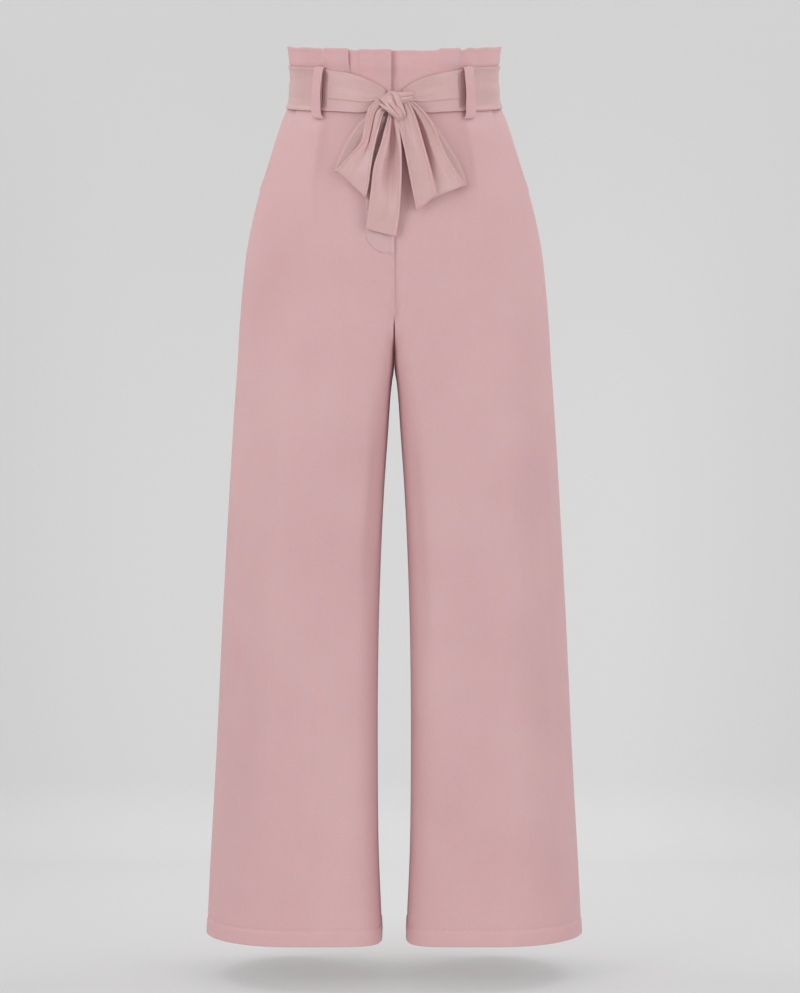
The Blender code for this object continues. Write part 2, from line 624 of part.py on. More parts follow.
def make_belt_loops(collection):
    places = np.linspace(0, len(LOOP_PATH) - 1, LOOP_ROWS)
    indexed = [(index, *row) for index, row in enumerate(LOOP_PATH)]
    columns = ("index", *LOOP_PATH_COLUMNS)
    path = [[read(indexed, columns, name, "index", place) for name in LOOP_PATH_COLUMNS] for place in places]
    path = np.array(path)
    tangents = np.gradient(path, axis=0)
    tangents /= np.linalg.norm(tangents, axis=1)[:, None]
    outward = np.stack((tangents[:, 1], -tangents[:, 0]), axis=1)
    half_width, depth = body("half_width", 0.0), body("front_depth", 0.0)
    for hand, middle in LOOP_ANGLES.items():
        turn = math.radians(middle)
        half_turn = LOOP_WIDTH / 2 / math.hypot(half_width * math.cos(turn), depth * math.sin(turn))
        foot_turn = math.copysign(LOOP_FOOT_TURN, -math.sin(2 * turn))

        def place(across, index, lift, middle=middle, foot_turn=foot_turn):
            level, off = path[index] + outward[index] * lift
            degrees = middle + math.degrees(across) + foot_turn * index / (LOOP_ROWS - 1)
            return waist_point(degrees, level, max(off, SEAM_GAP) + cloth_lift(degrees, level))

        turns = np.linspace(-half_turn, half_turn, LOOP_STEPS + 1)
        rows = [[(across, index) for across in turns] for index in range(LOOP_ROWS)]
        sheet_solid(f"belt_loop_{hand}", place, rows, CREPE, collection, PATCH_WALL)


def ribbon_grid(table):
    # Points of a ribbon's middle surface, from a smooth curve through each column of its table
    indexed = [(index, *row) for index, row in enumerate(table)]
    columns = ("index", *RIBBON_COLUMNS)
    rows = []
    for place in np.linspace(0, len(table) - 1, (len(table) - 1) * RIBBON_ROWS_PER_SECTION + 1):
        section = {name: read(indexed, columns, name, "index", place) for name in RIBBON_COLUMNS}
        left = front_point(section["left_x"], section["left_z"], section["left_off"])
        right = front_point(section["right_x"], section["right_z"], section["right_off"])
        points = []
        for t in np.linspace(0, 1, RIBBON_STEPS + 1):
            point = left + (right - left) * t
            reach = t / section["crease_at"] if t < section["crease_at"] else (1 - t) / (1 - section["crease_at"])
            point[1] += section["crease"] * smooth_step(reach)
            points.append(point)
        rows.append(points)
    return np.array(rows)


def grid_normals(grid):
    down = np.gradient(grid, axis=0)
    across = np.gradient(grid, axis=1)
    normals = np.cross(down, across)
    return normals / np.linalg.norm(normals, axis=2)[:, :, None]


def make_ribbon(name, table, collection):
    middle = ribbon_grid(table)
    offset = grid_normals(middle) * RIBBON_WALL / 2
    loft_solid(name, middle + offset, middle - offset, SASH_SATIN, collection)


def make_knot(collection):
    # A ball drawn out along the wrap, with shallow grooves that run its length
    mesh = bpy.data.meshes.new("knot")
    shape = bmesh.new()
    bmesh.ops.create_uvsphere(shape, u_segments=KNOT_SEGMENTS, v_segments=KNOT_RINGS, radius=1.0)
    lean_angle = math.radians(KNOT_LEAN)
    centre = front_point(KNOT_CENTRE_X, KNOT_CENTRE_Z, KNOT_OFF)
    for vertex in shape.verts:
        x, y, z = vertex.co
        round_turn = math.atan2(x, -y)
        groove = KNOT_GROOVE_DEPTH * (1 - z * z) * math.cos(2 * KNOT_GROOVES * round_turn + KNOT_GROOVE_TWIST * z)
        shoulder = 1 + KNOT_SHOULDER * (1 - abs(z)) * abs(z)
        across = x * (KNOT_HALF_WIDTH * shoulder - groove)
        depth = y * (KNOT_HALF_DEPTH - groove)
        length = z * KNOT_HALF_LENGTH
        vertex.co = (
            centre[0] + across * math.cos(lean_angle) - length * math.sin(lean_angle),
            centre[1] + depth,
            centre[2] + across * math.sin(lean_angle) + length * math.cos(lean_angle),
        )
    bmesh.ops.triangulate(shape, faces=shape.faces)
    shape.to_mesh(mesh)
    shape.free()
    mesh.shade_smooth()
    mesh.materials.append(make_material("knot", SASH_SATIN))
    collection.objects.link(bpy.data.objects.new("knot", mesh))


def make_bow(collection):
    make_ribbon("bow_loop_right", BOW_LOOP_RIGHT, collection)
    make_ribbon("bow_loop_left", BOW_LOOP_LEFT, collection)
    make_ribbon("sash_tail_long", SASH_TAIL_LONG, collection)
    make_ribbon("sash_tail_short", SASH_TAIL_SHORT, collection)
    make_knot(collection)


def main():
    clear_scene()
    collection = make_collection("palazzo_pants")
    make_legs(collection)
    make_pocket_sides(collection)
    make_fly(collection)
    make_waistband(collection)
    make_sash(collection)
    make_belt_loops(collection)
    make_bow(collection)


main()
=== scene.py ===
import math

import bpy
import numpy as np
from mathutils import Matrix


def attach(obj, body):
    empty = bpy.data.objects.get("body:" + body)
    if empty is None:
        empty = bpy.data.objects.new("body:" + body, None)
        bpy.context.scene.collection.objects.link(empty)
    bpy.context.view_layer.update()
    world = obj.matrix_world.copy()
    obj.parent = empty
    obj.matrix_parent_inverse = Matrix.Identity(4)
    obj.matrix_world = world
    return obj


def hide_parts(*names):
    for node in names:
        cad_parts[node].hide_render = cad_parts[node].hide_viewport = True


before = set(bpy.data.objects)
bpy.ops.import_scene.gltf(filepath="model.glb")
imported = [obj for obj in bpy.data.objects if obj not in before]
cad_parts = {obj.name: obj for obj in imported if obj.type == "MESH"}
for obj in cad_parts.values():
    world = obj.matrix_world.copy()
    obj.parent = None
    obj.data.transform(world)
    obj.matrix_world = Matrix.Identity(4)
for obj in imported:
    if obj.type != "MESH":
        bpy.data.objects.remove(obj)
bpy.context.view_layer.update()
print("frame loaded:", len(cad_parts), "nodes")

# The front faces -Y, the wearer's left is +X, and the middle of the waist opening is the origin.
# Heights are levels at the side seam, because each ring at the waist drops forward. Sizes are in metres.
cut = {
    "clothWall": 0.001,
    "edgeRound": 0.45,  # of a wall, by which the edge of any cloth rounds out
    "seamGap": 0.0003,
    "frillTop": 0.0485,
    "waistSeam": -0.019,
    "pocketFoot": -0.125,
    "flyFoot": -0.214,
    "cleftTop": -0.285,
    "crotch": -0.339,
    "hem": -1.027,
    "hemDepth": 0.019,  # turned up and blind-stitched
    "frontLean": 0.21,  # slopes by which the waist drops forward and rises backward
    "backLean": 0.11,
    "leanFade": 0.18,
    "partingTop": -0.1,  # the body's ring turns into the legs' rings between these
    "partingFoot": -0.5,
    "partingReach": 24,  # later at the centre seam, within a strip that this power narrows
    "cleftCurve": 1.7,
    "depthShares": (0.3, 0.85, 23),  # where the parting ring's depth is measured: from, to and how often
    "frontReach": 0.98,  # what lies on the front lies within this share of its half width
}

bodyRings = {
    "columns": ("level", "halfWidth", "frontDepth", "backDepth"),
    "rows": (
        (0.052, 0.1302, 0.0975, 0.0985),
        (0.04, 0.129, 0.0964, 0.0978),
        (0.03, 0.1279, 0.0952, 0.0966),
        (0.0225, 0.1254, 0.0928, 0.0942),
        (0.0, 0.1252, 0.0925, 0.094),
        (-0.019, 0.1275, 0.094, 0.096),
        (-0.029, 0.1322, 0.097, 0.1),
        (-0.039, 0.1365, 0.1, 0.103),
        (-0.051, 0.1406, 0.1025, 0.1065),
        (-0.075, 0.1482, 0.1055, 0.113),
        (-0.1, 0.156, 0.1078, 0.1185),
        (-0.149, 0.1695, 0.1108, 0.1262),
        (-0.198, 0.1795, 0.113, 0.129),
        (-0.247, 0.1848, 0.1148, 0.127),
        (-0.295, 0.1888, 0.1158, 0.1225),
        (-0.344, 0.1915, 0.116, 0.1185),
        (-0.417, 0.1964, 0.1145, 0.1155),
        (-0.5, 0.2012, 0.1134, 0.1143),
    ),
}

legRings = {
    "columns": ("level", "outer", "inner", "frontDepth", "backDepth"),
    "rows": (
        (-0.1, 0.156, 0.0, 0.1078, 0.1185),
        (-0.149, 0.1695, 0.0, 0.1108, 0.1262),
        (-0.198, 0.1795, 0.0, 0.113, 0.129),
        (-0.285, 0.188, 0.0, 0.1158, 0.1235),
        (-0.339, 0.1911, 0.0, 0.116, 0.119),
        (-0.368, 0.1932, 0.0037, 0.1155, 0.117),
        (-0.417, 0.1964, 0.0073, 0.1145, 0.1155),
        (-0.49, 0.2007, 0.0122, 0.1135, 0.1145),
        (-0.637, 0.2086, 0.0183, 0.1125, 0.113),
        (-0.832, 0.2178, 0.02, 0.1122, 0.1125),
        (-0.93, 0.2233, 0.0188, 0.1128, 0.1128),
        (-1.027, 0.2281, 0.0146, 0.113, 0.113),
    ),
}

# How square a leg's inner front corner is, where 2 is an ellipse: the fronts stay forward up to the cleft
cornerSquareness = {
    "columns": ("level", "power"),
    "rows": (
        (-0.1, 16.0),
        (-0.3, 15.0),
        (-0.339, 10.0),
        (-0.368, 8.0),
        (-0.44, 6.0),
        (-0.54, 5.2),
        (-0.7, 6.2),
        (-1.027, 6.2),
    ),
}


def smoothStep(x):
    x = np.clip(x, 0.0, 1.0)
    return x * x * (3 - 2 * x)


def bump(x, spread):
    return np.exp(-((x / spread) ** 2))


def arrays(*values):
    return np.broadcast_arrays(*[np.asarray(value, float) for value in values])


def unit(x, y):
    size = np.hypot(x, y)
    return x / size, y / size


def curveOf(table, name, at):
    # A smooth curve through one column of a table, read at values of its first column
    rows = np.array(table["rows"], float)
    rows = rows[np.argsort(rows[:, 0])]
    keys, values = rows[:, 0], rows[:, table["columns"].index(name)]
    at = np.clip(at, keys[0], keys[-1])
    slopes = np.gradient(values, keys)
    left = np.clip(np.searchsorted(keys, at, side="right") - 1, 0, len(keys) - 2)
    span = keys[left + 1] - keys[left]
    t = (at - keys[left]) / span
    start = (2 * t**3 - 3 * t**2 + 1) * values[left] + (t**3 - 2 * t**2 + t) * span * slopes[left]
    return start + (3 * t**2 - 2 * t**3) * values[left + 1] + (t**3 - t**2) * span * slopes[left + 1]


def numbered(columns, rows):
    # A table with the number of each row as its first column
    return {"columns": ("place", *columns), "rows": [(index, *row) for index, row in enumerate(rows)]}


def creaseLift(table, piece, place, across):
    # How far the creases of one piece raise it, at a place along it and a share of the way across it
    lift = np.zeros(np.broadcast(place, across).shape)
    for row in table[piece]:
        crease = dict(zip(table["columns"], row))
        along = np.clip((place - crease["start"]) / (crease["end"] - crease["start"]), 0.0, 1.0)
        middle = crease["acrossStart"] + (crease["acrossEnd"] - crease["acrossStart"]) * along
        middle = middle + crease.get("bow", 0.0) * np.sin(math.pi * along)
        spread = np.where(across < middle, crease["spread"], crease.get("farSpread", crease["spread"]))
        rises = 1.0 if crease["start"] == table.get("knotAt") else smoothStep(along / table["rise"])
        strength = rises * (1 - smoothStep((along - table["hold"]) / (1 - table["hold"])))
        lift = lift + crease["height"] * strength * bump(across - middle, spread)
    return lift


def leaned(level, y):
    slope = np.where(y < 0, cut["frontLean"], cut["backLean"])
    return level + slope * y * (1 - smoothStep((cut["waistSeam"] - level) / cut["leanFade"]))


def legsApart(u, level):
    drop = np.clip((cut["cleftTop"] - level) / (cut["cleftTop"] - cut["crotch"]), 0.0, 1.0)
    atCentre = drop ** cut["cleftCurve"]
    atSide = smoothStep((cut["partingTop"] - level) / (cut["partingTop"] - cut["partingFoot"]))
    return atSide + (atCentre - atSide) * u ** cut["partingReach"]


def ellipseAt(halfWidth, depth, angle):
    # A point of an ellipse and its outward normal
    normal = unit(np.cos(angle) / halfWidth, np.sin(angle) / depth)
    return halfWidth * np.cos(angle), depth * np.sin(angle), *normal


def innerCorner(tube, depth, angle, level):
    power = curveOf(cornerSquareness, "power", level)
    along = np.maximum(-np.cos(angle), 0.0)
    y = depth * np.maximum(1 - along**power, 0.0) ** (1 / power)
    return tube[0], np.where(along > 0, y, tube[1]), *tube[2:]


def partingRing(face, u, level):
    # The ring that turns from the body's into the leg's: a point and its outward normal
    depthName = "frontDepth" if face < 0 else "backDepth"
    halfWidth, depth = curveOf(bodyRings, "halfWidth", level), curveOf(bodyRings, depthName, level)
    hip = ellipseAt(halfWidth, depth, u * math.pi / 2)
    outer, inner = curveOf(legRings, "outer", level), curveOf(legRings, "inner", level)
    tubeDepth = curveOf(legRings, depthName, level)
    tube = ellipseAt((outer - inner) / 2, tubeDepth, u * math.pi)
    if face < 0:
        tube = innerCorner(tube, tubeDepth, u * math.pi, level)
    tube = (tube[0] + (outer + inner) / 2, *tube[1:])
    apart = legsApart(u, level)
    x, y, nx, ny = [(1 - apart) * a + apart * b for a, b in zip(hip, tube)]
    return x, y, *unit(nx, ny)


def depthGain(face, level):
    # Keeps the parting ring as deep as the rings above and below it
    depthName = "frontDepth" if face < 0 else "backDepth"
    atSide = legsApart(0.0, level)
    body, leg = curveOf(bodyRings, depthName, level), curveOf(legRings, depthName, level)
    first, last, count = cut["depthShares"]
    wanted = (body * (1 - atSide) + leg * atSide) * (math.sin(last * math.pi / 2) * (1 - atSide) + atSide)
    deepest = partingRing(face, np.linspace(first, last, count), np.asarray(level)[..., None])[1].max(axis=-1)
    return wanted / deepest


def legName(side, face):
    return ("front" if face < 0 else "back") + ("_right" if side < 0 else "_left")


def legPoints(side, face, u, level, lift):
    # Points of one leg's cloth, moved out by lift. u is 0 at the side seam, 1 at the centre seam or inseam.
    u, level, lift = arrays(u, level, lift)
    x, y, nx, ny = partingRing(face, u, level)
    levels, index = np.unique(level, return_inverse=True)
    gain = depthGain(face, levels)[index].reshape(level.shape)
    y = y * (1 + (gain - 1) * (1 - u ** cut["partingReach"]))
    lift = lift + creaseLift(legFolds, legName(side, face), level, u)
    halfGap = cut["seamGap"] / 2
    x = side * np.maximum(x + nx * lift, halfGap)
    y = face * np.maximum(y + ny * lift, halfGap)
    return np.stack((x, y, leaned(level, y)), axis=-1)


def waistPoints(degrees, level, lift):
    # Points round the waist, moved out by lift, by degrees from centre front
    degrees, level, lift = arrays(degrees, level, lift)
    turn = np.radians(degrees)
    front, back = curveOf(bodyRings, "frontDepth", level), curveOf(bodyRings, "backDepth", level)
    depth = np.where(np.cos(turn) > 0, front, back)
    halfWidth = curveOf(bodyRings, "halfWidth", level)
    nx, ny = unit(np.sin(turn) / halfWidth, -np.cos(turn) / depth)
    x, y = halfWidth * np.sin(turn) + nx * lift, -depth * np.cos(turn) + ny * lift
    return np.stack((x, y, leaned(level, y)), axis=-1)


def frontPoints(x, z, off):
    # Points that stand off the front of the trousers at a place seen from the front
    x, z, off = arrays(x, z, off)
    y, level = np.zeros_like(x), z.copy()
    for _ in range(6):  # the level depends on y through the lean, and this settles it
        level = level + z - leaned(level, y)
        ratio = np.minimum(np.abs(x) / curveOf(bodyRings, "halfWidth", level), cut["frontReach"])
        y = -curveOf(bodyRings, "frontDepth", level) * np.sqrt(1 - ratio * ratio) - off
    return np.stack((x, y, z), axis=-1)


# Folds in the legs, from a level to a lower one. Places and spreads across are shares of a panel's width,
# from 0 at the side seam to 1 at the centre seam or inseam.
legFolds = {
    "rise": 0.1,  # share of its length over which a fold rises, and after which it fades
    "hold": 0.35,
    "columns": ("start", "end", "acrossStart", "acrossEnd", "spread", "farSpread", "height"),
    "front_right": (
        (-0.025, -0.27, 0.56, 0.64, 0.13, 0.05, 0.0072),
        (-0.38, -1.12, 0.44, 0.4, 0.1, 0.08, 0.0046),
        (-0.62, -1.15, 0.76, 0.72, 0.06, 0.07, 0.0018),
    ),
    "front_left": (
        (-0.025, -0.26, 0.56, 0.61, 0.12, 0.055, 0.0064),
        (-0.38, -1.12, 0.43, 0.41, 0.1, 0.08, 0.0044),
        (-0.6, -1.15, 0.74, 0.73, 0.07, 0.06, 0.002),
    ),
    "back_right": (
        (-0.025, -0.21, 0.52, 0.56, 0.14, 0.04, 0.0042),
        (-0.38, -1.1, 0.46, 0.42, 0.12, 0.12, 0.0034),
        (-0.56, -1.15, 0.75, 0.74, 0.07, 0.07, 0.0022),
    ),
    "back_left": (
        (-0.025, -0.22, 0.52, 0.56, 0.14, 0.04, 0.0042),
        (-0.4, -1.13, 0.45, 0.43, 0.12, 0.12, 0.0032),
        (-0.58, -1.15, 0.76, 0.73, 0.07, 0.07, 0.0022),
    ),
}

# Smaller creases: ridges above 0 and troughs below, from the waist, over the thighs from the crotch or from
# under the seat, and down the legs. Bow is how far the middle strays sideways.
legCreases = {
    "rise": 0.35,
    "hold": 0.55,
    "columns": ("start", "end", "acrossStart", "acrossEnd", "bow", "spread", "height"),
    "front_right": (
        (-0.03, -0.2, 0.606, 0.646, 0.006, 0.014, -0.0009),
        (-0.06, -0.33, 0.71, 0.75, 0.01, 0.045, -0.0022),
        (-0.12, -0.42, 0.3, 0.38, -0.01, 0.05, 0.0009),
        (-0.215, -0.35, 0.72, 0.93, 0.02, 0.028, -0.0016),
        (-0.245, -0.38, 0.66, 0.89, 0.015, 0.034, 0.001),
        (-0.36, -0.66, 0.86, 0.82, 0.01, 0.05, -0.0026),
        (-0.45, -0.9, 0.64, 0.6, -0.01, 0.04, -0.002),
        (-0.48, -1.06, 0.24, 0.2, 0.008, 0.04, -0.0022),
        (-0.7, -1.12, 0.56, 0.55, 0.006, 0.03, 0.0008),
    ),
    "front_left": (
        (-0.03, -0.16, 0.6, 0.62, 0.005, 0.014, -0.0008),
        (-0.05, -0.28, 0.7, 0.71, 0.01, 0.045, -0.002),
        (-0.15, -0.4, 0.33, 0.43, -0.015, 0.045, 0.001),
        (-0.19, -0.345, 0.64, 0.93, 0.03, 0.034, -0.002),
        (-0.235, -0.375, 0.54, 0.9, 0.024, 0.04, 0.0022),
        (-0.3, -0.42, 0.52, 0.8, 0.012, 0.036, -0.0016),
        (-0.36, -0.72, 0.84, 0.8, 0.01, 0.05, -0.0026),
        (-0.46, -0.96, 0.62, 0.59, -0.012, 0.04, -0.002),
        (-0.44, -1.0, 0.22, 0.19, 0.01, 0.04, -0.0022),
        (-0.76, -1.13, 0.9, 0.88, 0.006, 0.026, 0.0007),
    ),
    "back_right": (
        (-0.04, -0.17, 0.62, 0.64, 0.006, 0.02, -0.001),
        (-0.23, -0.37, 0.6, 0.93, -0.02, 0.034, -0.0014),
        (-0.28, -0.42, 0.5, 0.88, -0.024, 0.04, 0.0013),
        (-0.35, -0.82, 0.85, 0.82, 0.014, 0.038, -0.0014),
        (-0.47, -0.98, 0.62, 0.6, -0.008, 0.036, -0.0012),
        (-0.42, -1.02, 0.26, 0.22, 0.01, 0.04, -0.0011),
    ),
    "back_left": (
        (-0.04, -0.15, 0.61, 0.63, 0.005, 0.02, -0.001),
        (-0.24, -0.365, 0.56, 0.93, -0.022, 0.032, -0.0013),
        (-0.3, -0.44, 0.48, 0.86, -0.02, 0.042, 0.0014),
        (-0.34, -0.78, 0.87, 0.83, 0.012, 0.036, -0.0014),
        (-0.52, -1.04, 0.63, 0.59, -0.01, 0.038, -0.0012),
        (-0.46, -0.94, 0.27, 0.23, 0.008, 0.04, -0.001),
    ),
}


def linearColour(text):
    # sRGB hex to the linear colour that the shaders take
    parts = [int(text[i : i + 2], 16) / 255 for i in (1, 3, 5)]
    return (*[p / 12.92 if p <= 0.04045 else ((p + 0.055) / 1.055) ** 2.4 for p in parts], 1.0)


def addNode(tree, kind, settings, links=()):
    # One node, with its settings by property or socket name and its links by (socket, node, output)
    node = tree.nodes.new("ShaderNode" + kind)
    for name, value in settings.items():
        if isinstance(name, str) and hasattr(node, name):
            setattr(node, name, value)
        else:
            node.inputs[name].default_value = value
    for socket, source, output in links:
        tree.links.new(source.outputs[output], node.inputs[socket])
    return node


def newMaterial(name, settings):
    # A material with its shader's sockets set by name
    material = bpy.data.materials.new(name)
    material.use_nodes = True
    shader = material.node_tree.nodes["Principled BSDF"]
    for socket, value in settings.items():
        shader.inputs[socket].default_value = value
    return material, material.node_tree, shader


# Polyester crepe, woven from high-twist yarn and piece-dyed. The twist puckers the face into fine pebbles, so
# the cloth looks matt and soft, with a faint bloom where it turns away.
crepe = {
    "shade": "#C89DA0",
    "light": "#D5AEAF",
    "blotch": 0.12,  # metres; a soft random mottle, partly uneven dye and partly painted light and shade standing in for the drape
    "pebble": 0.0016,  # the real pebbles are 0.5 mm, drawn coarser so that they show
    "pebbleHeight": 0.00012,
    "fleck": 0.025,  # by which share the pebbles are lighter and darker
    "band": 0.00691,  # faint bands down the weave, where the warp's tension varied
    "bandShare": 0.25,  # their height, of the pebbles'
    "shader": {
        "Roughness": 0.68,
        "IOR": 1.54,
        "Sheen Weight": 0.05,
        "Sheen Roughness": 0.45,
        "Subsurface Weight": 0.2,  # thin cloth glows in its own colour where the folds are in shade
        "Subsurface Radius": (1.0, 0.3, 0.28),
        "Subsurface Scale": 0.004,
    },
}

# The sash is the same cloth with its satin back outward: long floats lie flat, so its folds catch the light.
satinBackCrepe = {
    **crepe,
    "shade": "#C39C9B",
    "light": "#D1AEAC",
    # a finer mottle, likewise partly uneven dye and partly painted light and shade
    "blotch": 0.04,
    "pebble": 0.0022,
    "pebbleHeight": 0.00005,
    "band": 0.00565,
    "shader": {
        **crepe["shader"],
        "Roughness": 0.44,
        "Sheen Weight": 0.08,
        "Sheen Roughness": 0.35,
        "Subsurface Weight": 0.28,
    },
}


def clothMaterial(name, cloth):
    shade, light = linearColour(cloth["shade"]), linearColour(cloth["light"])
    material, tree, shader = newMaterial(name, {**cloth["shader"], "Sheen Tint": shade})
    place = addNode(tree, "TexCoord", {})
    at = [("Vector", place, "Object")]
    # painted light and shade: noise mixes the darker and lighter tone, partly as dye and partly for the
    # drape's soft light
    blotch = addNode(tree, "TexNoise", {"Scale": 1 / cloth["blotch"], "Detail": 3.0, "Roughness": 0.5}, at)
    dyeAndPaintedShade = addNode(tree, "Mix", {"data_type": "RGBA", 6: shade, 7: light}, [(0, blotch, "Fac")])
    pebbles = addNode(tree, "TexNoise", {"Scale": 1 / cloth["pebble"], "Detail": 2.0, "Roughness": 0.6}, at)
    flecks = addNode(
        tree,
        "MapRange",
        {"From Min": 0.3, "From Max": 0.7, "To Min": 1 - cloth["fleck"], "To Max": 1 + cloth["fleck"]},
        [("Value", pebbles, "Fac")],
    )
    blend = {"data_type": "RGBA", "blend_type": "MULTIPLY", 0: 1.0}
    dyed = addNode(tree, "Mix", blend, [(6, dyeAndPaintedShade, 2), (7, flecks, "Result")])
    # a wave texture repeats 20 / (2 pi) times in a unit at scale 1
    waves = {"Scale": math.pi / 10 / cloth["band"], "Distortion": 1.5, "Detail": 1.0, "bands_direction": "X"}
    bands = addNode(tree, "TexWave", waves, [("Vector", place, "UV")])
    added = {"operation": "MULTIPLY_ADD", 1: cloth["bandShare"]}
    relief = addNode(tree, "Math", added, [(0, bands, "Fac"), (2, pebbles, "Fac")])
    height = {"Strength": 1.0, "Distance": cloth["pebbleHeight"]}
    raised = addNode(tree, "Bump", height, [("Height", relief, 0)])
    tree.links.new(dyed.outputs[2], shader.inputs["Base Color"])
    tree.links.new(raised.outputs["Normal"], shader.inputs["Normal"])
    return material


# Spun polyester thread, dyed to match the crepe: three twisted plies that catch the light a little more, and
# lighter or darker from one stitch to the next, a painted glint for the light along its twist.
thread = {"shade": "#CFA9A7", "light": "#DDBCB9", "paintedGlintLength": 0.00754, "shader": {"Roughness": 0.5, "IOR": 1.54}}


def threadMaterial():
    material, tree, shader = newMaterial("polyesterThread", thread["shader"])
    place = addNode(tree, "TexCoord", {})
    # a diagonal wave repeats 10 / (2 pi) times in a unit at scale 1
    # painted glint: a diagonal wave of lighter and darker thread, standing in for the light on its twist
    waves = {"Scale": math.pi / 5 / thread["paintedGlintLength"], "bands_direction": "DIAGONAL"}
    paintedGlints = addNode(tree, "TexWave", waves, [("Vector", place, "Object")])
    colours = {"data_type": "RGBA", 6: linearColour(thread["shade"]), 7: linearColour(thread["light"])}
    dyed = addNode(tree, "Mix", colours, [(0, paintedGlints, "Fac")])
    tree.links.new(dyed.outputs[2], shader.inputs["Base Color"])
    return material


finishes = {
    "crepe": clothMaterial("polyesterCrepe", crepe),
    "sash_crepe": clothMaterial("satinBackCrepe", satinBackCrepe),
    "thread": threadMaterial(),
}
print("materials made")


def gridNormals(grid):
    # Outward where the rows run down and the columns run from the wearer's right to left across the front
    normals = np.cross(np.gradient(grid, axis=0), np.gradient(grid, axis=1))
    return normals / np.maximum(np.linalg.norm(normals, axis=2, keepdims=True), 1e-12)


def edgeSteps(count, margin):
    # Even steps from 0 to 1, with one more close to each end so that the cloth's edge turns crisply
    return np.concatenate(([0.0, margin], np.linspace(margin, 1 - margin, count)[1:-1], [1 - margin, 1.0]))


def placed(name, data):
    thing = bpy.data.objects.new(name, data)
    bpy.context.scene.collection.objects.link(thing)
    return thing


def dress(piece, slot, *nodes):
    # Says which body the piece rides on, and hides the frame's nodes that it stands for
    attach(piece, "root")
    if nodes:
        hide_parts(*nodes)
    return piece


def meshPiece(name, vertices, faces, finish, metres=None):
    mesh = bpy.data.meshes.new(name)
    mesh.from_pydata(vertices.tolist(), [], faces)
    if metres is not None:
        layer = mesh.uv_layers.new(name="clothMetres")
        corners = np.zeros(len(mesh.loops), np.int32)
        mesh.loops.foreach_get("vertex_index", corners)
        layer.data.foreach_set("uv", np.asarray(metres, np.float32)[corners].ravel())
    mesh.shade_smooth()
    mesh.materials.append(finishes[finish])
    return placed(name, mesh)


def clothShell(name, node, outside, wall, slot, flip=False, centred=False):
    # A closed thin shell: the outside grid, an inside one a wall away, and a rounded edge between them
    rows, steps = outside.shape[:2]
    normals = gridNormals(outside) * (-1 if flip else 1)
    if centred:
        outside = outside + normals * wall / 2
    inside = outside - normals * wall
    middle = (outside + inside) / 2
    rim = [(0, j) for j in range(steps)] + [(i, steps - 1) for i in range(1, rows)]
    rim += [(rows - 1, j) for j in range(steps - 2, -1, -1)] + [(i, 0) for i in range(rows - 2, 0, -1)]
    rimRows, rimSteps = np.array(rim).T
    edge = middle[rimRows, rimSteps]
    away = edge - middle[np.clip(rimRows, 1, rows - 2), np.clip(rimSteps, 1, steps - 2)]
    away /= np.maximum(np.linalg.norm(away, axis=1, keepdims=True), 1e-12)
    bend = edge + away * wall * cut["edgeRound"]
    index = np.arange(rows * steps).reshape(rows, steps)
    a, b, c, d = index[:-1, :-1], index[1:, :-1], index[1:, 1:], index[:-1, 1:]
    outer = index[rimRows, rimSteps]
    turn = 2 * rows * steps + np.arange(len(rim))
    after = np.roll(np.arange(len(rim)), -1)
    faces = [
        np.stack((a, b, c, d), axis=-1).reshape(-1, 4),
        np.stack((d, c, b, a), axis=-1).reshape(-1, 4) + rows * steps,
        np.stack((outer, outer[after], turn[after], turn), axis=-1),
        np.stack((turn, turn[after], outer[after] + rows * steps, outer + rows * steps), axis=-1),
    ]
    faces = np.concatenate(faces)
    if not flip:
        faces = faces[:, ::-1]
    across = np.cumsum(np.linalg.norm(np.diff(middle, axis=1, prepend=middle[:, :1]), axis=2), axis=1)
    along = np.cumsum(np.linalg.norm(np.diff(middle, axis=0, prepend=middle[:1]), axis=2), axis=0)
    metres = np.stack((across, along), axis=-1).reshape(-1, 2)
    vertices = np.concatenate((outside.reshape(-1, 3), inside.reshape(-1, 3), bend))
    piece = meshPiece(name, vertices, faces.tolist(), slot, np.concatenate((metres, metres, metres[outer])))
    return dress(piece, slot, node)


stitch = {
    "lift": 0.001,  # how far apart the two lines lie that give the thread's way out
    "sink": 0.4,  # of its half width, by which a thread lies in the cloth
    "shares": (0.0, 0.12, 0.5, 0.88, 1.0),  # sections along one stitch, and their widths
    "widths": (0.25, 0.8, 1.0, 0.8, 0.25),
    "sides": 6,
    "plain": (0.0026, 0.0008, 0.00045),
}


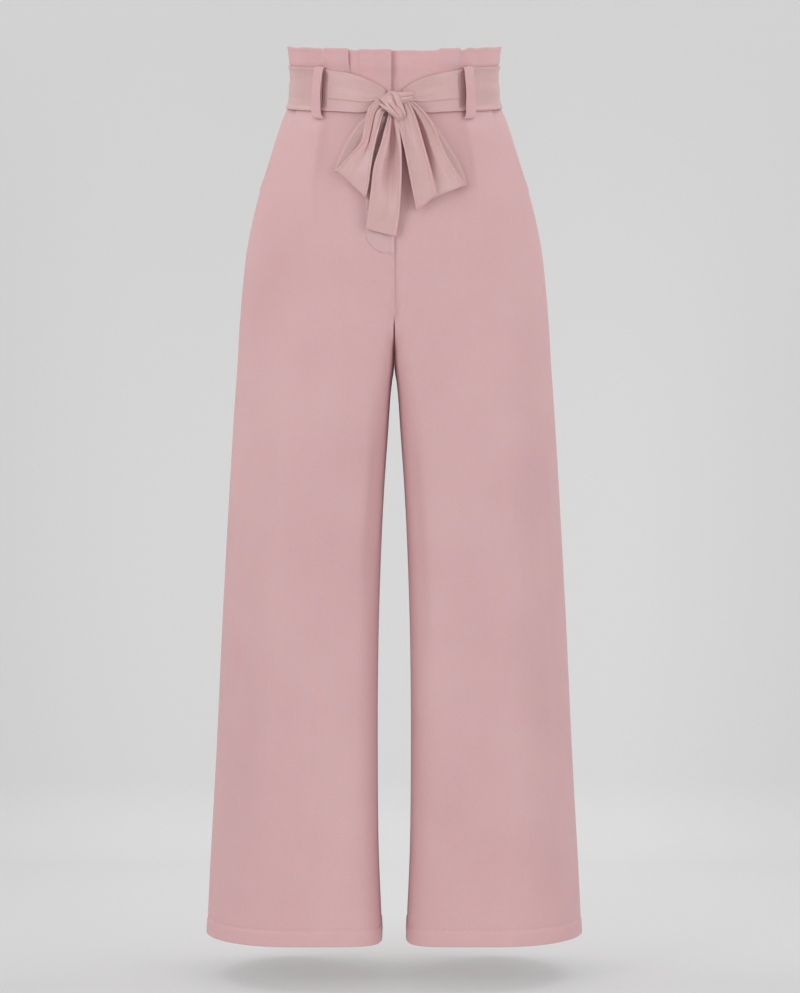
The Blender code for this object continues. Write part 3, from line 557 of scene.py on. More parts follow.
def stitchLine(name, lineAt, spacing=stitch["plain"]):
    # Short raised threads along a seam. lineAt(lift) gives the seam's points at that lift off the cloth.
    # Spacing is a stitch's length, the gap after it and the thread's width.
    length, gap, width = spacing
    points = lineAt(0.0)
    outward = lineAt(stitch["lift"]) - points
    outward /= np.linalg.norm(outward, axis=1, keepdims=True)
    lengths = np.concatenate(([0.0], np.cumsum(np.linalg.norm(np.diff(points, axis=0), axis=1))))
    count = max(1, round(lengths[-1] / (length + gap)))
    shares, sizes = np.array(stitch["shares"]), np.array(stitch["widths"]) * width / 2
    places = (np.arange(count)[:, None] + 0.5) * lengths[-1] / count + (shares - 0.5) * length
    centre = np.stack([np.interp(places, lengths, points[:, axis]) for axis in range(3)], axis=-1)
    out = np.stack([np.interp(places, lengths, outward[:, axis]) for axis in range(3)], axis=-1)
    side = np.cross(np.gradient(centre, axis=1), out)
    side /= np.linalg.norm(side, axis=-1, keepdims=True)
    near = np.arange(stitch["sides"])
    angles = near * 2 * math.pi / stitch["sides"]
    ring = np.cos(angles)[:, None] * side[..., None, :] + np.sin(angles)[:, None] * out[..., None, :]
    middle = centre + out * (sizes * (1 - stitch["sink"]))[:, None]
    vertices = middle[..., None, :] + ring * sizes[:, None, None]
    far = (near + 1) % stitch["sides"]
    bands = np.stack((near, far, far + stitch["sides"], near + stitch["sides"]), axis=-1)
    bands = np.concatenate([bands + stitch["sides"] * section for section in range(len(shares) - 1)])
    faces = (bands + (np.arange(count) * stitch["sides"] * len(shares))[:, None, None]).reshape(-1, 4)
    return dress(meshPiece(name, vertices.reshape(-1, 3), faces.tolist(), "thread"), "crepe")


# The legs' four panels
panel = {
    "rows": 230,
    "steps": 76,
    "edge": 0.004,  # share of the width within which the edge turns
    "nearEdge": 0.0008,  # one more row this far from the top and the foot, and more about the hem's stitches
    "nearStitches": (-0.003, -0.0015, 0.0, 0.0015, 0.003),
    # more steps where the fronts turn in
    "nearCentre": (0.938, 0.952, 0.964, 0.974, 0.981, 0.986, 0.99, 0.993),
    "width": 0.33,  # a panel's usual width, to turn shares into metres
    "seamDip": 0.0009,  # the cloth draws in at a seam, and less where the front is pressed flat
    "frontDip": 0.0004,
    "seamSpread": 0.003,
    "easeAbove": 0.012,  # the centre seam eases to nothing over this height above the cleft
    "easeBelow": (0.02, 0.01),  # and is back this far below the crotch, over this height
    "lapOver": 0.0007,  # at centre front the right front lies over the left
    "lapUnder": -0.0007,
    "hemGroove": 0.0005,  # the hem's stitches draw the cloth in
    "hemGrooveSpread": 0.0016,
    "hemFull": 0.0007,  # the turned-up hem is a little fuller, and gets so over this height
    "hemRise": 0.004,
    "inseamLine": 0.0062,  # a pressed line this far from the inseam
    "inseamRidge": 0.0006,
    "inseamSpread": 0.0012,
    "inseamTop": -0.62,  # where it starts, and the height over which it grows
    "inseamGrow": 0.12,
    "cuts": {
        "front_right": (-1, -1, (0.34, 1.01), 0.3),
        "front_left": (1, -1, (0.34, 1.01), 0.3),
        "back_right": (-1, 1, (0.36, 1.01), 0.32),
        "back_left": (1, 1, (0.36, 1.01), 0.32),
    },
}

pocket = {
    "mouth": {
        "columns": ("level", "degrees"),
        "rows": (
            (-0.019, 27.0),
            (-0.048, 24.5),
            (-0.075, 19.5),
            (-0.1, 12.0),
            (-0.125, 1.6),
        ),
    },
    "bar": 0.0012,  # the mouth closes within this height of its foot
    "mouthRoll": 0.0008,  # the folded mouth stands a little proud, in a ridge this far in and this wide
    "rollAt": 0.002,
    "rollSpread": 0.0025,
    "rows": 40,
    "steps": (16, 8),  # on what shows of the side piece, and on what lies under the front
    "underlap": 0.11,
    "sink": 0.0028,
    "deepest": 0.92,
    "wall": 0.0008,
}


def pocketEdge(level):
    return np.where(level >= cut["pocketFoot"], curveOf(pocket["mouth"], "degrees", level) / 90, 0.0)


def seamLift(side, face, u, level):
    # Seams draw in, the hem is fuller, and a pressed line runs beside the front inseam
    fromSide, fromCentre = u * panel["width"], (1 - u) * panel["width"]
    below, fade = panel["easeBelow"]
    nearCrotch = smoothStep((cut["cleftTop"] + panel["easeAbove"] - level) / panel["easeAbove"])
    nearCrotch = nearCrotch * smoothStep((level - cut["crotch"] + below) / fade)
    atCentre = bump(fromCentre, panel["seamSpread"]) * (1 - nearCrotch)
    centreDip = panel["frontDip"] if face < 0 else panel["seamDip"]
    lift = -panel["seamDip"] * bump(fromSide, panel["seamSpread"]) - centreDip * atCentre
    aboveStitches = level - cut["hem"] - cut["hemDepth"]
    if face < 0:
        lap = smoothStep((level - cut["crotch"]) / (cut["cleftTop"] - cut["crotch"]))
        laid = panel["lapOver"] if side < 0 else panel["lapUnder"]
        lift = lift + laid * bump(fromCentre, panel["seamSpread"]) * lap
        line = bump(fromCentre - panel["inseamLine"], panel["inseamSpread"])
        line = line * smoothStep((panel["inseamTop"] - level) / panel["inseamGrow"])
        lift = lift - panel["inseamRidge"] * line
    lift = lift - panel["hemGroove"] * bump(aboveStitches, panel["hemGrooveSpread"])
    return lift + panel["hemFull"] * smoothStep(-aboveStitches / panel["hemRise"])


def clothPoints(side, face, u, level, lift=0.0):
    # The outside of a finished leg, creases and seams included
    creases = creaseLift(legCreases, legName(side, face), level, u)
    return legPoints(side, face, u, level, lift + creases + seamLift(side, face, u, level))


def makePanel(name, side, face, flat, area):
    top = cut["waistSeam"] - cut["seamGap"] / 2
    stitched = cut["hem"] + cut["hemDepth"]
    levels = {*np.linspace(top, cut["hem"], panel["rows"])}
    levels |= {top - panel["nearEdge"], cut["hem"] + panel["nearEdge"]}
    levels |= {stitched + step for step in panel["nearStitches"]}
    levels |= {cut["pocketFoot"], cut["pocketFoot"] - pocket["bar"]}
    levels = np.array(sorted(levels, reverse=True))[:, None]
    start = pocketEdge(levels) if face < 0 else np.zeros_like(levels)
    shares = np.union1d(edgeSteps(panel["steps"], panel["edge"]), panel["nearCentre"])
    u = start + (1 - start) * shares
    levels = np.broadcast_to(levels, u.shape)
    mouth = (levels >= cut["pocketFoot"]) * (face < 0)
    roll = bump((u - start) * panel["width"] - pocket["rollAt"], pocket["rollSpread"]) * mouth
    outside = clothPoints(side, face, u, levels, pocket["mouthRoll"] * roll)
    cloth = clothShell(name + "_panel", name, outside, cut["clothWall"], "crepe", flip=side * face < 0)

    def hemLine(lift):
        return clothPoints(side, face, np.linspace(0.01, 0.99, 200), stitched, lift)

    sewn = stitchLine(name + "_hem_stitches", hemLine)


for name, cutOut in panel["cuts"].items():
    makePanel(name, *cutOut)
print("panels made")


# The pockets' side pieces, level with the side seam and sunk under the front at the mouth
def makePocketSide(side, name):
    levels = np.linspace(cut["waistSeam"] - cut["seamGap"] / 2, cut["pocketFoot"], pocket["rows"])[:, None]
    edge = pocketEdge(levels)
    shownSteps, underSteps = pocket["steps"]
    shown = edgeSteps(shownSteps, 0.02)
    under = np.linspace(0.1, 1.0, underSteps)
    u = np.concatenate((shown * edge, edge + under * pocket["underlap"]), axis=1)
    sunk = np.concatenate((smoothStep(shown / pocket["deepest"]), np.ones_like(under)))
    lift = -pocket["sink"] * sunk + seamLift(side, 0, u, levels) * (sunk < 0.5)
    outside = legPoints(side, -1, u, levels, lift)
    piece = clothShell(name + "_cloth", name, outside, pocket["wall"], "crepe", flip=side > 0)


makePocketSide(-1, "pocket_side_right")
makePocketSide(1, "pocket_side_left")

# The fly, a shaped patch on the right front with its J of stitches
fly = {
    "width": 0.033,
    "curve": 0.025,
    "tip": 0.003,
    "lift": 0.0006,
    "rise": 0.0009,  # its stitched edge sinks into the cloth within this distance
    "edge": 0.0035,
    "wall": 0.00054,
    "inset": 0.0022,  # the stitches run this far inside the edge, in a groove
    "groove": 0.0002,
    "grooveSpread": 0.0009,
    "stitchLift": 0.0005,
    "leastWidth": 0.0012,  # where the J ends, this far from the centre
    "spacing": (0.0026, 0.0006, 0.0008),
}


def flyOutline(count):
    # Levels down the patch and its width at each: straight, then a quarter round
    straight = np.linspace(cut["waistSeam"] - cut["seamGap"], cut["flyFoot"] + fly["curve"], count)
    turn = np.linspace(0, math.pi / 2, count // 2)[1:]
    levels = np.concatenate((straight, cut["flyFoot"] + fly["curve"] * (1 - np.sin(turn))))
    narrowing = fly["tip"] + (fly["width"] - fly["tip"]) * np.cos(turn)
    return levels, np.concatenate((np.full(count, fly["width"]), narrowing))


def shareAt(face, x, level):
    # The share of a panel's width, as u, at which it lies this far from the centre line
    shares = np.linspace(1, 0.5, 60)
    reach = partingRing(face, shares, np.asarray(level)[:, None])[0]
    return np.array([np.interp(one, row, shares) for one, row in zip(x, reach)])


def makeFly():
    levels, widths = flyOutline(60)
    start = shareAt(-1, widths, levels)[:, None]
    u = start + (1 - start) * edgeSteps(24, 0.02)
    levels = np.broadcast_to(levels[:, None], u.shape)
    fromEdge = np.minimum((u - start) * panel["width"], levels - levels[-1, 0])
    rise = fly["lift"] + fly["rise"] * smoothStep(fromEdge / fly["edge"])
    rise = rise - fly["groove"] * bump(fromEdge - fly["inset"], fly["grooveSpread"])
    piece = clothShell("fly_patch", "fly", clothPoints(-1, -1, u, levels, rise), fly["wall"], "crepe")

    def seamOf(lift):
        lineLevels, lineWidths = flyOutline(40)
        inside = np.maximum(lineWidths - fly["inset"], fly["leastWidth"])
        lineLevels = np.maximum(lineLevels, cut["flyFoot"] + fly["inset"])
        lift = lift + fly["lift"] + fly["stitchLift"]
        return clothPoints(-1, -1, shareAt(-1, inside, lineLevels), lineLevels, lift)

    sewn = stitchLine("fly_stitches", seamOf, fly["spacing"])


makeFly()
print("pockets and fly made")

# The waistband, which stands on above the sash as a frill of knife pleats
frill = {
    "wall": 0.0008,
    "rows": 46,
    "edge": 0.006,  # share of the height within which the edge turns
    "step": 1.0,  # degrees
    "perMetre": 460,  # degrees of ring in a metre
    "pressed": 0.35,  # what is left of a pleat's height at the sash
    "spring": 0.016,  # height above the sash over which a pleat opens
    "waveStart": 0.3,  # the waves start lower by this share of that height, and the placket's slot by this
    "slotStart": 1.6,
    "rise": 0.8,  # a pleat's top edge is higher by this share of its height, and a wave's by the next
    "waveRise": 0.5,
    "tuck": 2.6,  # degrees that the cloth runs back under a sharp fold
    "sharp": 2.0,  # a side of a pleat narrower than this, in degrees, is a sharp fold
    "slotDepth": 0.003,  # the placket between the overlap and the left front
    "slot": (0.3, 2.9),
    "edgeRoll": 0.0006,  # the folded top edge stands a little full, in a ridge this far down and this wide
    "edgeRollAt": 0.0022,
    "edgeRollSpread": 0.0018,
    "sideRise": 0.0022,  # away from the front the top edge is higher, past this many degrees and over these
    "sideFrom": 40.0,
    "sideOver": 2.5,
    "bands": {
        "waistband_front_right": (-89.9, -1.6, (0.196, 0.07)),
        "waistband_front_left": (-9.0, 89.9, (0.208, 0.07)),
        "waistband_back": (90.1, 269.9, (0.395, 0.07)),
    },
    # degrees at the foot of one side, at the crest's start and end and at the other foot, and height
    "pleats": {
        "waistband_front_right": (
            (-41.5, -38.5, -24.8, -23.4, 0.0032),
            (-20.5, -17.5, 5.0, 8.0, 0.0017),
        ),
        "waistband_front_left": ((22.5, 25.0, 36.2, 37.6, 0.0032),),
        "waistband_back": (
            (116.0, 119.0, 129.0, 130.4, 0.0029),
            (142.0, 145.0, 156.0, 157.4, 0.0031),
            (202.6, 204.0, 215.0, 218.0, 0.0031),
            (229.6, 231.0, 241.0, 244.0, 0.0029),
        ),
    },
    # gathers between the pleats: degrees at the top, lean in degrees, spread, height, share of height kept
    "waves": (
        (-78.0, 1.5, 5.0, 0.0012, 0.6),
        (-66.0, -1.0, 4.0, -0.001, 0.8),
        (-53.0, 1.0, 4.5, 0.0009, 0.7),
        (-46.0, 0.5, 2.5, -0.0007, 0.5),
        (-31.0, 1.5, 3.5, -0.0005, 0.9),
        (-21.8, 0.4, 0.9, 0.0008, 0.9),
        (-11.0, 0.8, 3.0, -0.0006, 0.9),
        (-5.0, -0.4, 2.0, 0.0004, 0.7),
        (8.0, 0.6, 3.0, 0.0006, 0.7),
        (16.0, -0.5, 3.0, -0.0006, 0.9),
        (21.0, -0.3, 1.2, -0.0009, 1.0),
        (30.0, 0.8, 3.0, -0.0005, 0.8),
        (43.0, 1.0, 2.6, 0.0008, 0.7),
        (50.0, 0.5, 3.2, -0.001, 0.9),
        (58.0, -1.0, 4.0, 0.001, 0.6),
        (72.0, 1.0, 4.5, -0.0009, 0.7),
        (82.0, -0.5, 4.0, 0.001, 0.8),
        (98.0, 1.0, 5.0, 0.001, 0.8),
        (109.0, -0.8, 4.0, -0.0009, 0.7),
        (136.0, 0.8, 3.6, -0.0008, 0.8),
        (166.0, -1.0, 4.5, 0.001, 0.7),
        (177.0, 0.6, 4.0, -0.0009, 0.9),
        (191.0, 1.0, 4.0, 0.0011, 0.6),
        (223.0, -0.6, 3.0, 0.0008, 0.8),
        (252.0, 0.8, 4.5, -0.001, 0.7),
        (262.0, -0.8, 4.0, 0.001, 0.8),
    ),
}

sash = {
    "top": 0.027,
    "foot": -0.024,
    "split": 42.6,  # the back and front lengths meet under the front belt loops
    "columns": ("degrees", "top", "foot", "drawn"),
    "rows": (
        (4.6, 0.003, -0.015, 1.0),
        (8.6, 0.0092, -0.0195, 1.0),
        (15.4, 0.016, -0.0243, 1.0),
        (25.8, 0.0222, -0.0243, 1.0),
        (36.5, 0.0245, -0.0236, 0.6),
        (42.6, 0.027, -0.0238, 0.15),
    ),
}


def sashEdge(degrees, name):
    # The level of the sash's top or foot at a place round the waist
    away = np.abs((np.asarray(degrees, float) + 180) % 360 - 180)
    return np.where(away < sash["split"], curveOf(sash, name, away), sash[name])


def knifeFold(edge, way, height):
    # A sharp fold as (degrees, lift): over the crest's edge, back under it, and down to the cloth below
    turns = np.linspace(math.pi / 2, -math.pi / 2, 7)
    bend, under = height / 3, height / 6
    out, back = way * bend * frill["perMetre"], way * under * frill["perMetre"]
    fold = [(edge + out * math.cos(t), height - bend + bend * math.sin(t)) for t in turns]
    fold += [(edge - way * frill["tuck"] - back * math.cos(t), under + under * math.sin(t)) for t in turns]
    fold += [(edge - way * frill["tuck"] * share, 0.0) for share in (0.66, 0.33, 0.0)]
    return fold if way > 0 else fold[::-1]


def softSlope(foot, crest, height):
    shares = np.linspace(0, 1, 7)
    return [(foot + (crest - foot) * share, height * smoothStep(share)) for share in shares]


def frillPath(start, end, pleats):
    # One way round the band at full pleat height, as (degrees, lift)
    path, here = [], start
    for foot, near, far, farFoot, height in pleats:
        path += [(degrees, 0.0) for degrees in np.arange(here, foot, frill["step"])]
        path += knifeFold(near, -1, height) if near - foot < frill["sharp"] else softSlope(foot, near, height)
        path += [(degrees, height) for degrees in np.arange(near, min(far, end), frill["step"])[1:]]
        here = farFoot
        if far < end:
            sharpEnd = farFoot - far < frill["sharp"]
            path += knifeFold(far, 1, height) if sharpEnd else softSlope(farFoot, far, height)[::-1]
    if here < end:
        path += [(degrees, 0.0) for degrees in np.arange(here, end, frill["step"])[1:]] + [(end, 0.0)]
    else:
        path.append((end, path[-1][1]))
    return np.array(path)


def waveLift(degrees, share):
    lift = np.zeros(np.broadcast(degrees, share).shape)
    for place, lean, spread, height, reach in frill["waves"]:
        strength = smoothStep((share - 1 + reach) / reach)
        lift = lift + height * strength * bump(degrees - (place + lean * (1 - share)), spread)
    return lift


def makeBand(name):
    start, end, flat = frill["bands"][name]
    degrees, heights = frillPath(start, end, frill["pleats"][name]).T
    share = edgeSteps(frill["rows"], frill["edge"])[::-1, None]
    top = cut["frillTop"] + frill["rise"] * heights + frill["waveRise"] * waveLift(degrees, 1.0)
    away = np.abs((degrees + 180) % 360 - 180)
    top = top + frill["sideRise"] * smoothStep((away - frill["sideFrom"]) / frill["sideOver"])
    low = cut["waistSeam"] + cut["seamGap"] / 2
    level = low + (top - low) * share
    above = level - np.maximum(sashEdge(degrees, "top"), 0.5 * sash["top"])
    opened = frill["pressed"] + (1 - frill["pressed"]) * smoothStep(above / frill["spring"])
    waved = smoothStep(above / frill["spring"] + frill["waveStart"])
    lift = heights * opened + waveLift(degrees, share) * waved
    if name == "waistband_front_left":
        flatTo, fullFrom = frill["slot"]
        sunk = 1 - smoothStep((degrees - flatTo) / (fullFrom - flatTo))
        lift = lift - frill["slotDepth"] * sunk * smoothStep(above / frill["spring"] + frill["slotStart"])
    lift = lift + frill["edgeRoll"] * bump((level - top) + frill["edgeRollAt"], frill["edgeRollSpread"])
    piece = clothShell(name + "_cloth", name, waistPoints(degrees, level, lift), frill["wall"], "crepe")


for name in frill["bands"]:
    makeBand(name)
print("waistband made")

# The sash, pulled tight round the waist and into the knot
sashCloth = {
    "wall": 0.0012,
    "fold": 0.7,  # the front's lower part folds under itself at this share of its height
    "profile": {
        "columns": ("across", "plain", "drawn"),
        "rows": (
            (0.0, 0.0024, 0.0022),
            (0.06, 0.0028, 0.003),
            (0.16, 0.003, 0.004),
            (0.36, 0.0032, 0.0055),
            (0.56, 0.0033, 0.0068),
            (0.64, 0.0033, 0.0074),
            (0.68, 0.0032, 0.0074),
            (0.7, 0.0032, 0.0068),
            (0.716, 0.0031, 0.0062),
            (0.74, 0.0031, 0.0059),
            (0.8, 0.003, 0.0052),
            (0.88, 0.0028, 0.0043),
            (0.96, 0.0027, 0.0034),
            (1.0, 0.0024, 0.0028),
        ),
    },
    "edgeRoll": 0.0005,  # the folded edges stand a little full, in a ridge this far in and this wide
    "edgeRollAt": 0.03,
    "edgeRollSpread": 0.025,
    # the cloth sinks beside each belt loop, and springs up where it comes out from under it
    "hollow": {-1: (37.9, 39.3), 1: (36.2, 37.6)},
    "hollowLift": 0.0016,
    "hollowEdges": (0.16, 0.12),  # share of the height over which it does so at the top and the foot
    # creases, on each side drawn towards the knot: degrees, share of the height, spread and height
    "creases": {
        "rise": 0.2,
        "hold": 0.3,
        "knotAt": 5.0,  # a crease from here comes out of the knot at its full height
        "columns": ("start", "end", "acrossStart", "acrossEnd", "spread", "height"),
        -1: (
            (5.0, 27.0, 0.2, 0.1, 0.05, -0.0007),
            (5.0, 36.0, 0.45, 0.38, 0.08, 0.0008),
            (5.0, 20.0, 0.62, 0.56, 0.04, -0.0009),
            (5.0, 19.0, 0.86, 0.84, 0.05, -0.0009),
        ),
        1: (
            (5.0, 24.0, 0.18, 0.14, 0.05, -0.0007),
            (5.0, 34.0, 0.4, 0.28, 0.07, 0.0009),
            (5.0, 26.0, 0.58, 0.46, 0.045, -0.0009),
            (5.0, 22.0, 0.88, 0.85, 0.045, -0.0008),
        ),
        0: (
            (50.0, 120.0, 0.36, 0.42, 0.06, -0.0006),
            (95.0, 170.0, 0.66, 0.58, 0.055, 0.0007),
            (150.0, 232.0, 0.3, 0.4, 0.06, -0.0007),
            (205.0, 290.0, 0.62, 0.7, 0.06, 0.0006),
            (250.0, 312.0, 0.34, 0.3, 0.05, -0.0006),
        ),
    },
}


def sashLift(side, degrees, across, drawn):
    plain = curveOf(sashCloth["profile"], "plain", across)
    lift = plain + (curveOf(sashCloth["profile"], "drawn", across) - plain) * drawn
    at, spread = sashCloth["edgeRollAt"], sashCloth["edgeRollSpread"]
    lift = lift + sashCloth["edgeRoll"] * (bump(across - at, spread) + bump(1 - across - at, spread))
    lift = lift + creaseLift(sashCloth["creases"], side, degrees, across)
    if side:
        rim, foot = sashCloth["hollow"][side]
        topEdge, footEdge = sashCloth["hollowEdges"]
        sunk = smoothStep((degrees - rim) / (foot - rim))
        sunk = sunk * smoothStep(across / topEdge) * smoothStep((1 - across) / footEdge)
        lift = lift + (sashCloth["hollowLift"] - lift) * sunk
    return lift


def makeSash():
    # Rows from the upper to the lower edge, closer at the fold and at the edges
    across = np.concatenate((edgeSteps(36, 0.012), sashCloth["fold"] + np.linspace(-0.03, 0.03, 13)))
    across = np.unique(across.round(6))[:, None]
    degrees = np.linspace(sash["split"] + 0.1, 360 - sash["split"] - 0.1, 170)
    level = sash["top"] + (sash["foot"] - sash["top"]) * across
    points = waistPoints(degrees, level, sashLift(0, degrees, across, 0.0))
    back = clothShell("sash_back_cloth", "sash_back", points, sashCloth["wall"], "sash_crepe")
    for side, node in ((-1, "sash_front_right"), (1, "sash_front_left")):
        near = np.linspace(*sashCloth["hollow"][side], 9)
        away = np.unique(np.concatenate((np.linspace(sash["split"] - 0.1, 4.6, 60), near)))[::-1]
        top, foot = curveOf(sash, "top", away), curveOf(sash, "foot", away)
        lift = sashLift(side, away, across, curveOf(sash, "drawn", away))
        points = waistPoints(side * away, top + (foot - top) * across, lift)
        piece = clothShell(node + "_cloth", node, points, sashCloth["wall"], "sash_crepe", flip=side > 0)


makeSash()
print("sash made")

# The belt loops, pulled aslant by the sash: the edge nearer the knot stands well off it
beltLoop = {
    "width": 0.0136,
    "wall": 0.001,
    "footTurn": 2.8,  # degrees that a loop's foot lies nearer the middle of its face than its top
    # degrees that its middle is pushed away from there
    "bow": {"front_right": 3.4, "front_left": 2.2, "back_right": 2.6, "back_left": 3.0},
    "slant": 0.7,  # the lower edge stands off by this share of the higher one
    "least": 0.0004,  # and no part of it lies closer than this
    "pleatFoot": 0.0262,  # a loop's top rides over the frill's pleats from this level on, over this height
    "pleatOver": 0.0108,
    "rows": 60,
    "steps": 13,
    "dome": 0.0004,  # a turned tube of cloth is a little full along its middle
    "flat": (0.016, 0.072),
    "middles": {"front_right": -42.6, "front_left": 42.6, "back_right": 224.0, "back_left": 136.0},
    "tackAt": 0.003,  # the bar tacks lie this far from each end
    "tack": (0.0126, 0.0002, 0.0007),
}
beltLoopPath = {
    "columns": ("level", "lift"),
    "rows": (
        (0.0272, 0.003),
        (0.0266, 0.0052),
        (0.018, 0.0086),
        (0.0, 0.01),
        (-0.016, 0.0094),
        (-0.0268, 0.0062),
        (-0.0312, 0.003),
        (-0.0322, 0.0006),
    ),
}


def clothLift(degrees, level):
    # How far the cloth under a belt loop stands off, by the frill's pleats and the legs' folds
    degrees, level = arrays(degrees, level)
    lift = np.zeros(degrees.shape)
    for rows in frill["pleats"].values():
        for foot, near, far, farFoot, height in rows:
            rise = np.minimum((degrees - foot) / (near - foot), (farFoot - degrees) / (farFoot - far))
            lift = lift + height * smoothStep(np.minimum(rise, 1.0))
    lift = lift * smoothStep((level - beltLoop["pleatFoot"]) / beltLoop["pleatOver"])
    turn = np.radians(degrees)
    side, face = (1 if np.sin(turn).mean() > 0 else -1), (-1 if np.cos(turn).mean() > 0 else 1)
    u = np.arccos(np.minimum(np.abs(np.sin(turn)), 1.0)) * 2 / math.pi
    return lift + creaseLift(legFolds, legName(side, face), level, u)


def makeBeltLoop(hand, middle):
    path = numbered(beltLoopPath["columns"], beltLoopPath["rows"])
    places = np.linspace(0, len(path["rows"]) - 1, beltLoop["rows"])[:, None]
    level, lift = curveOf(path, "level", places), curveOf(path, "lift", places)
    alongLevel, alongLift = unit(np.gradient(level[:, 0]), np.gradient(lift[:, 0]))
    outLevel, outLift = alongLift[:, None], -alongLevel[:, None]
    turn = math.radians(middle)
    halfWidth, depth = curveOf(bodyRings, "halfWidth", 0.0), curveOf(bodyRings, "frontDepth", 0.0)
    reach = math.hypot(halfWidth * math.cos(turn), depth * math.sin(turn))
    halfTurn = math.degrees(beltLoop["width"] / 2 / reach)
    across = 2 * edgeSteps(beltLoop["steps"], 0.03) - 1
    inward = -math.copysign(1, math.sin(2 * turn))
    share = places / places[-1]
    turned = inward * (beltLoop["footTurn"] * share - beltLoop["bow"][hand] * np.sin(math.pi * share) ** 1.5)
    degrees = middle + across * halfTurn + turned
    slant = 1 - (1 - beltLoop["slant"]) * np.sin(math.pi * share) * (1 - inward * across) / 2

    def pointsAt(raised):
        raised = raised + beltLoop["dome"] * (1 - across**2)
        atLevel = level + outLevel * raised
        off = np.maximum(lift * slant + outLift * raised, beltLoop["least"])
        return waistPoints(degrees, atLevel, off + clothLift(degrees, atLevel))

    name = f"belt_loop_{hand}"
    points, over = pointsAt(beltLoop["wall"]), pointsAt(beltLoop["wall"] + stitch["lift"])
    piece = clothShell(name + "_cloth", name, points, beltLoop["wall"], "crepe")
    lengths = np.cumsum(np.linalg.norm(np.diff(points[:, 5], axis=0), axis=1))
    for end, distance in (("top", lengths), ("foot", lengths[-1] - lengths)):
        row = int(np.argmin(np.abs(distance - beltLoop["tackAt"])))

        def tackLine(raised, row=row):
            return (points + (over - points) * raised / stitch["lift"])[row, 1:-1]

        stitchLine(f"{name}_{end}_tack", tackLine, beltLoop["tack"])


for hand, middle in beltLoop["middles"].items():
    makeBeltLoop(hand, middle)
print("belt loops made")

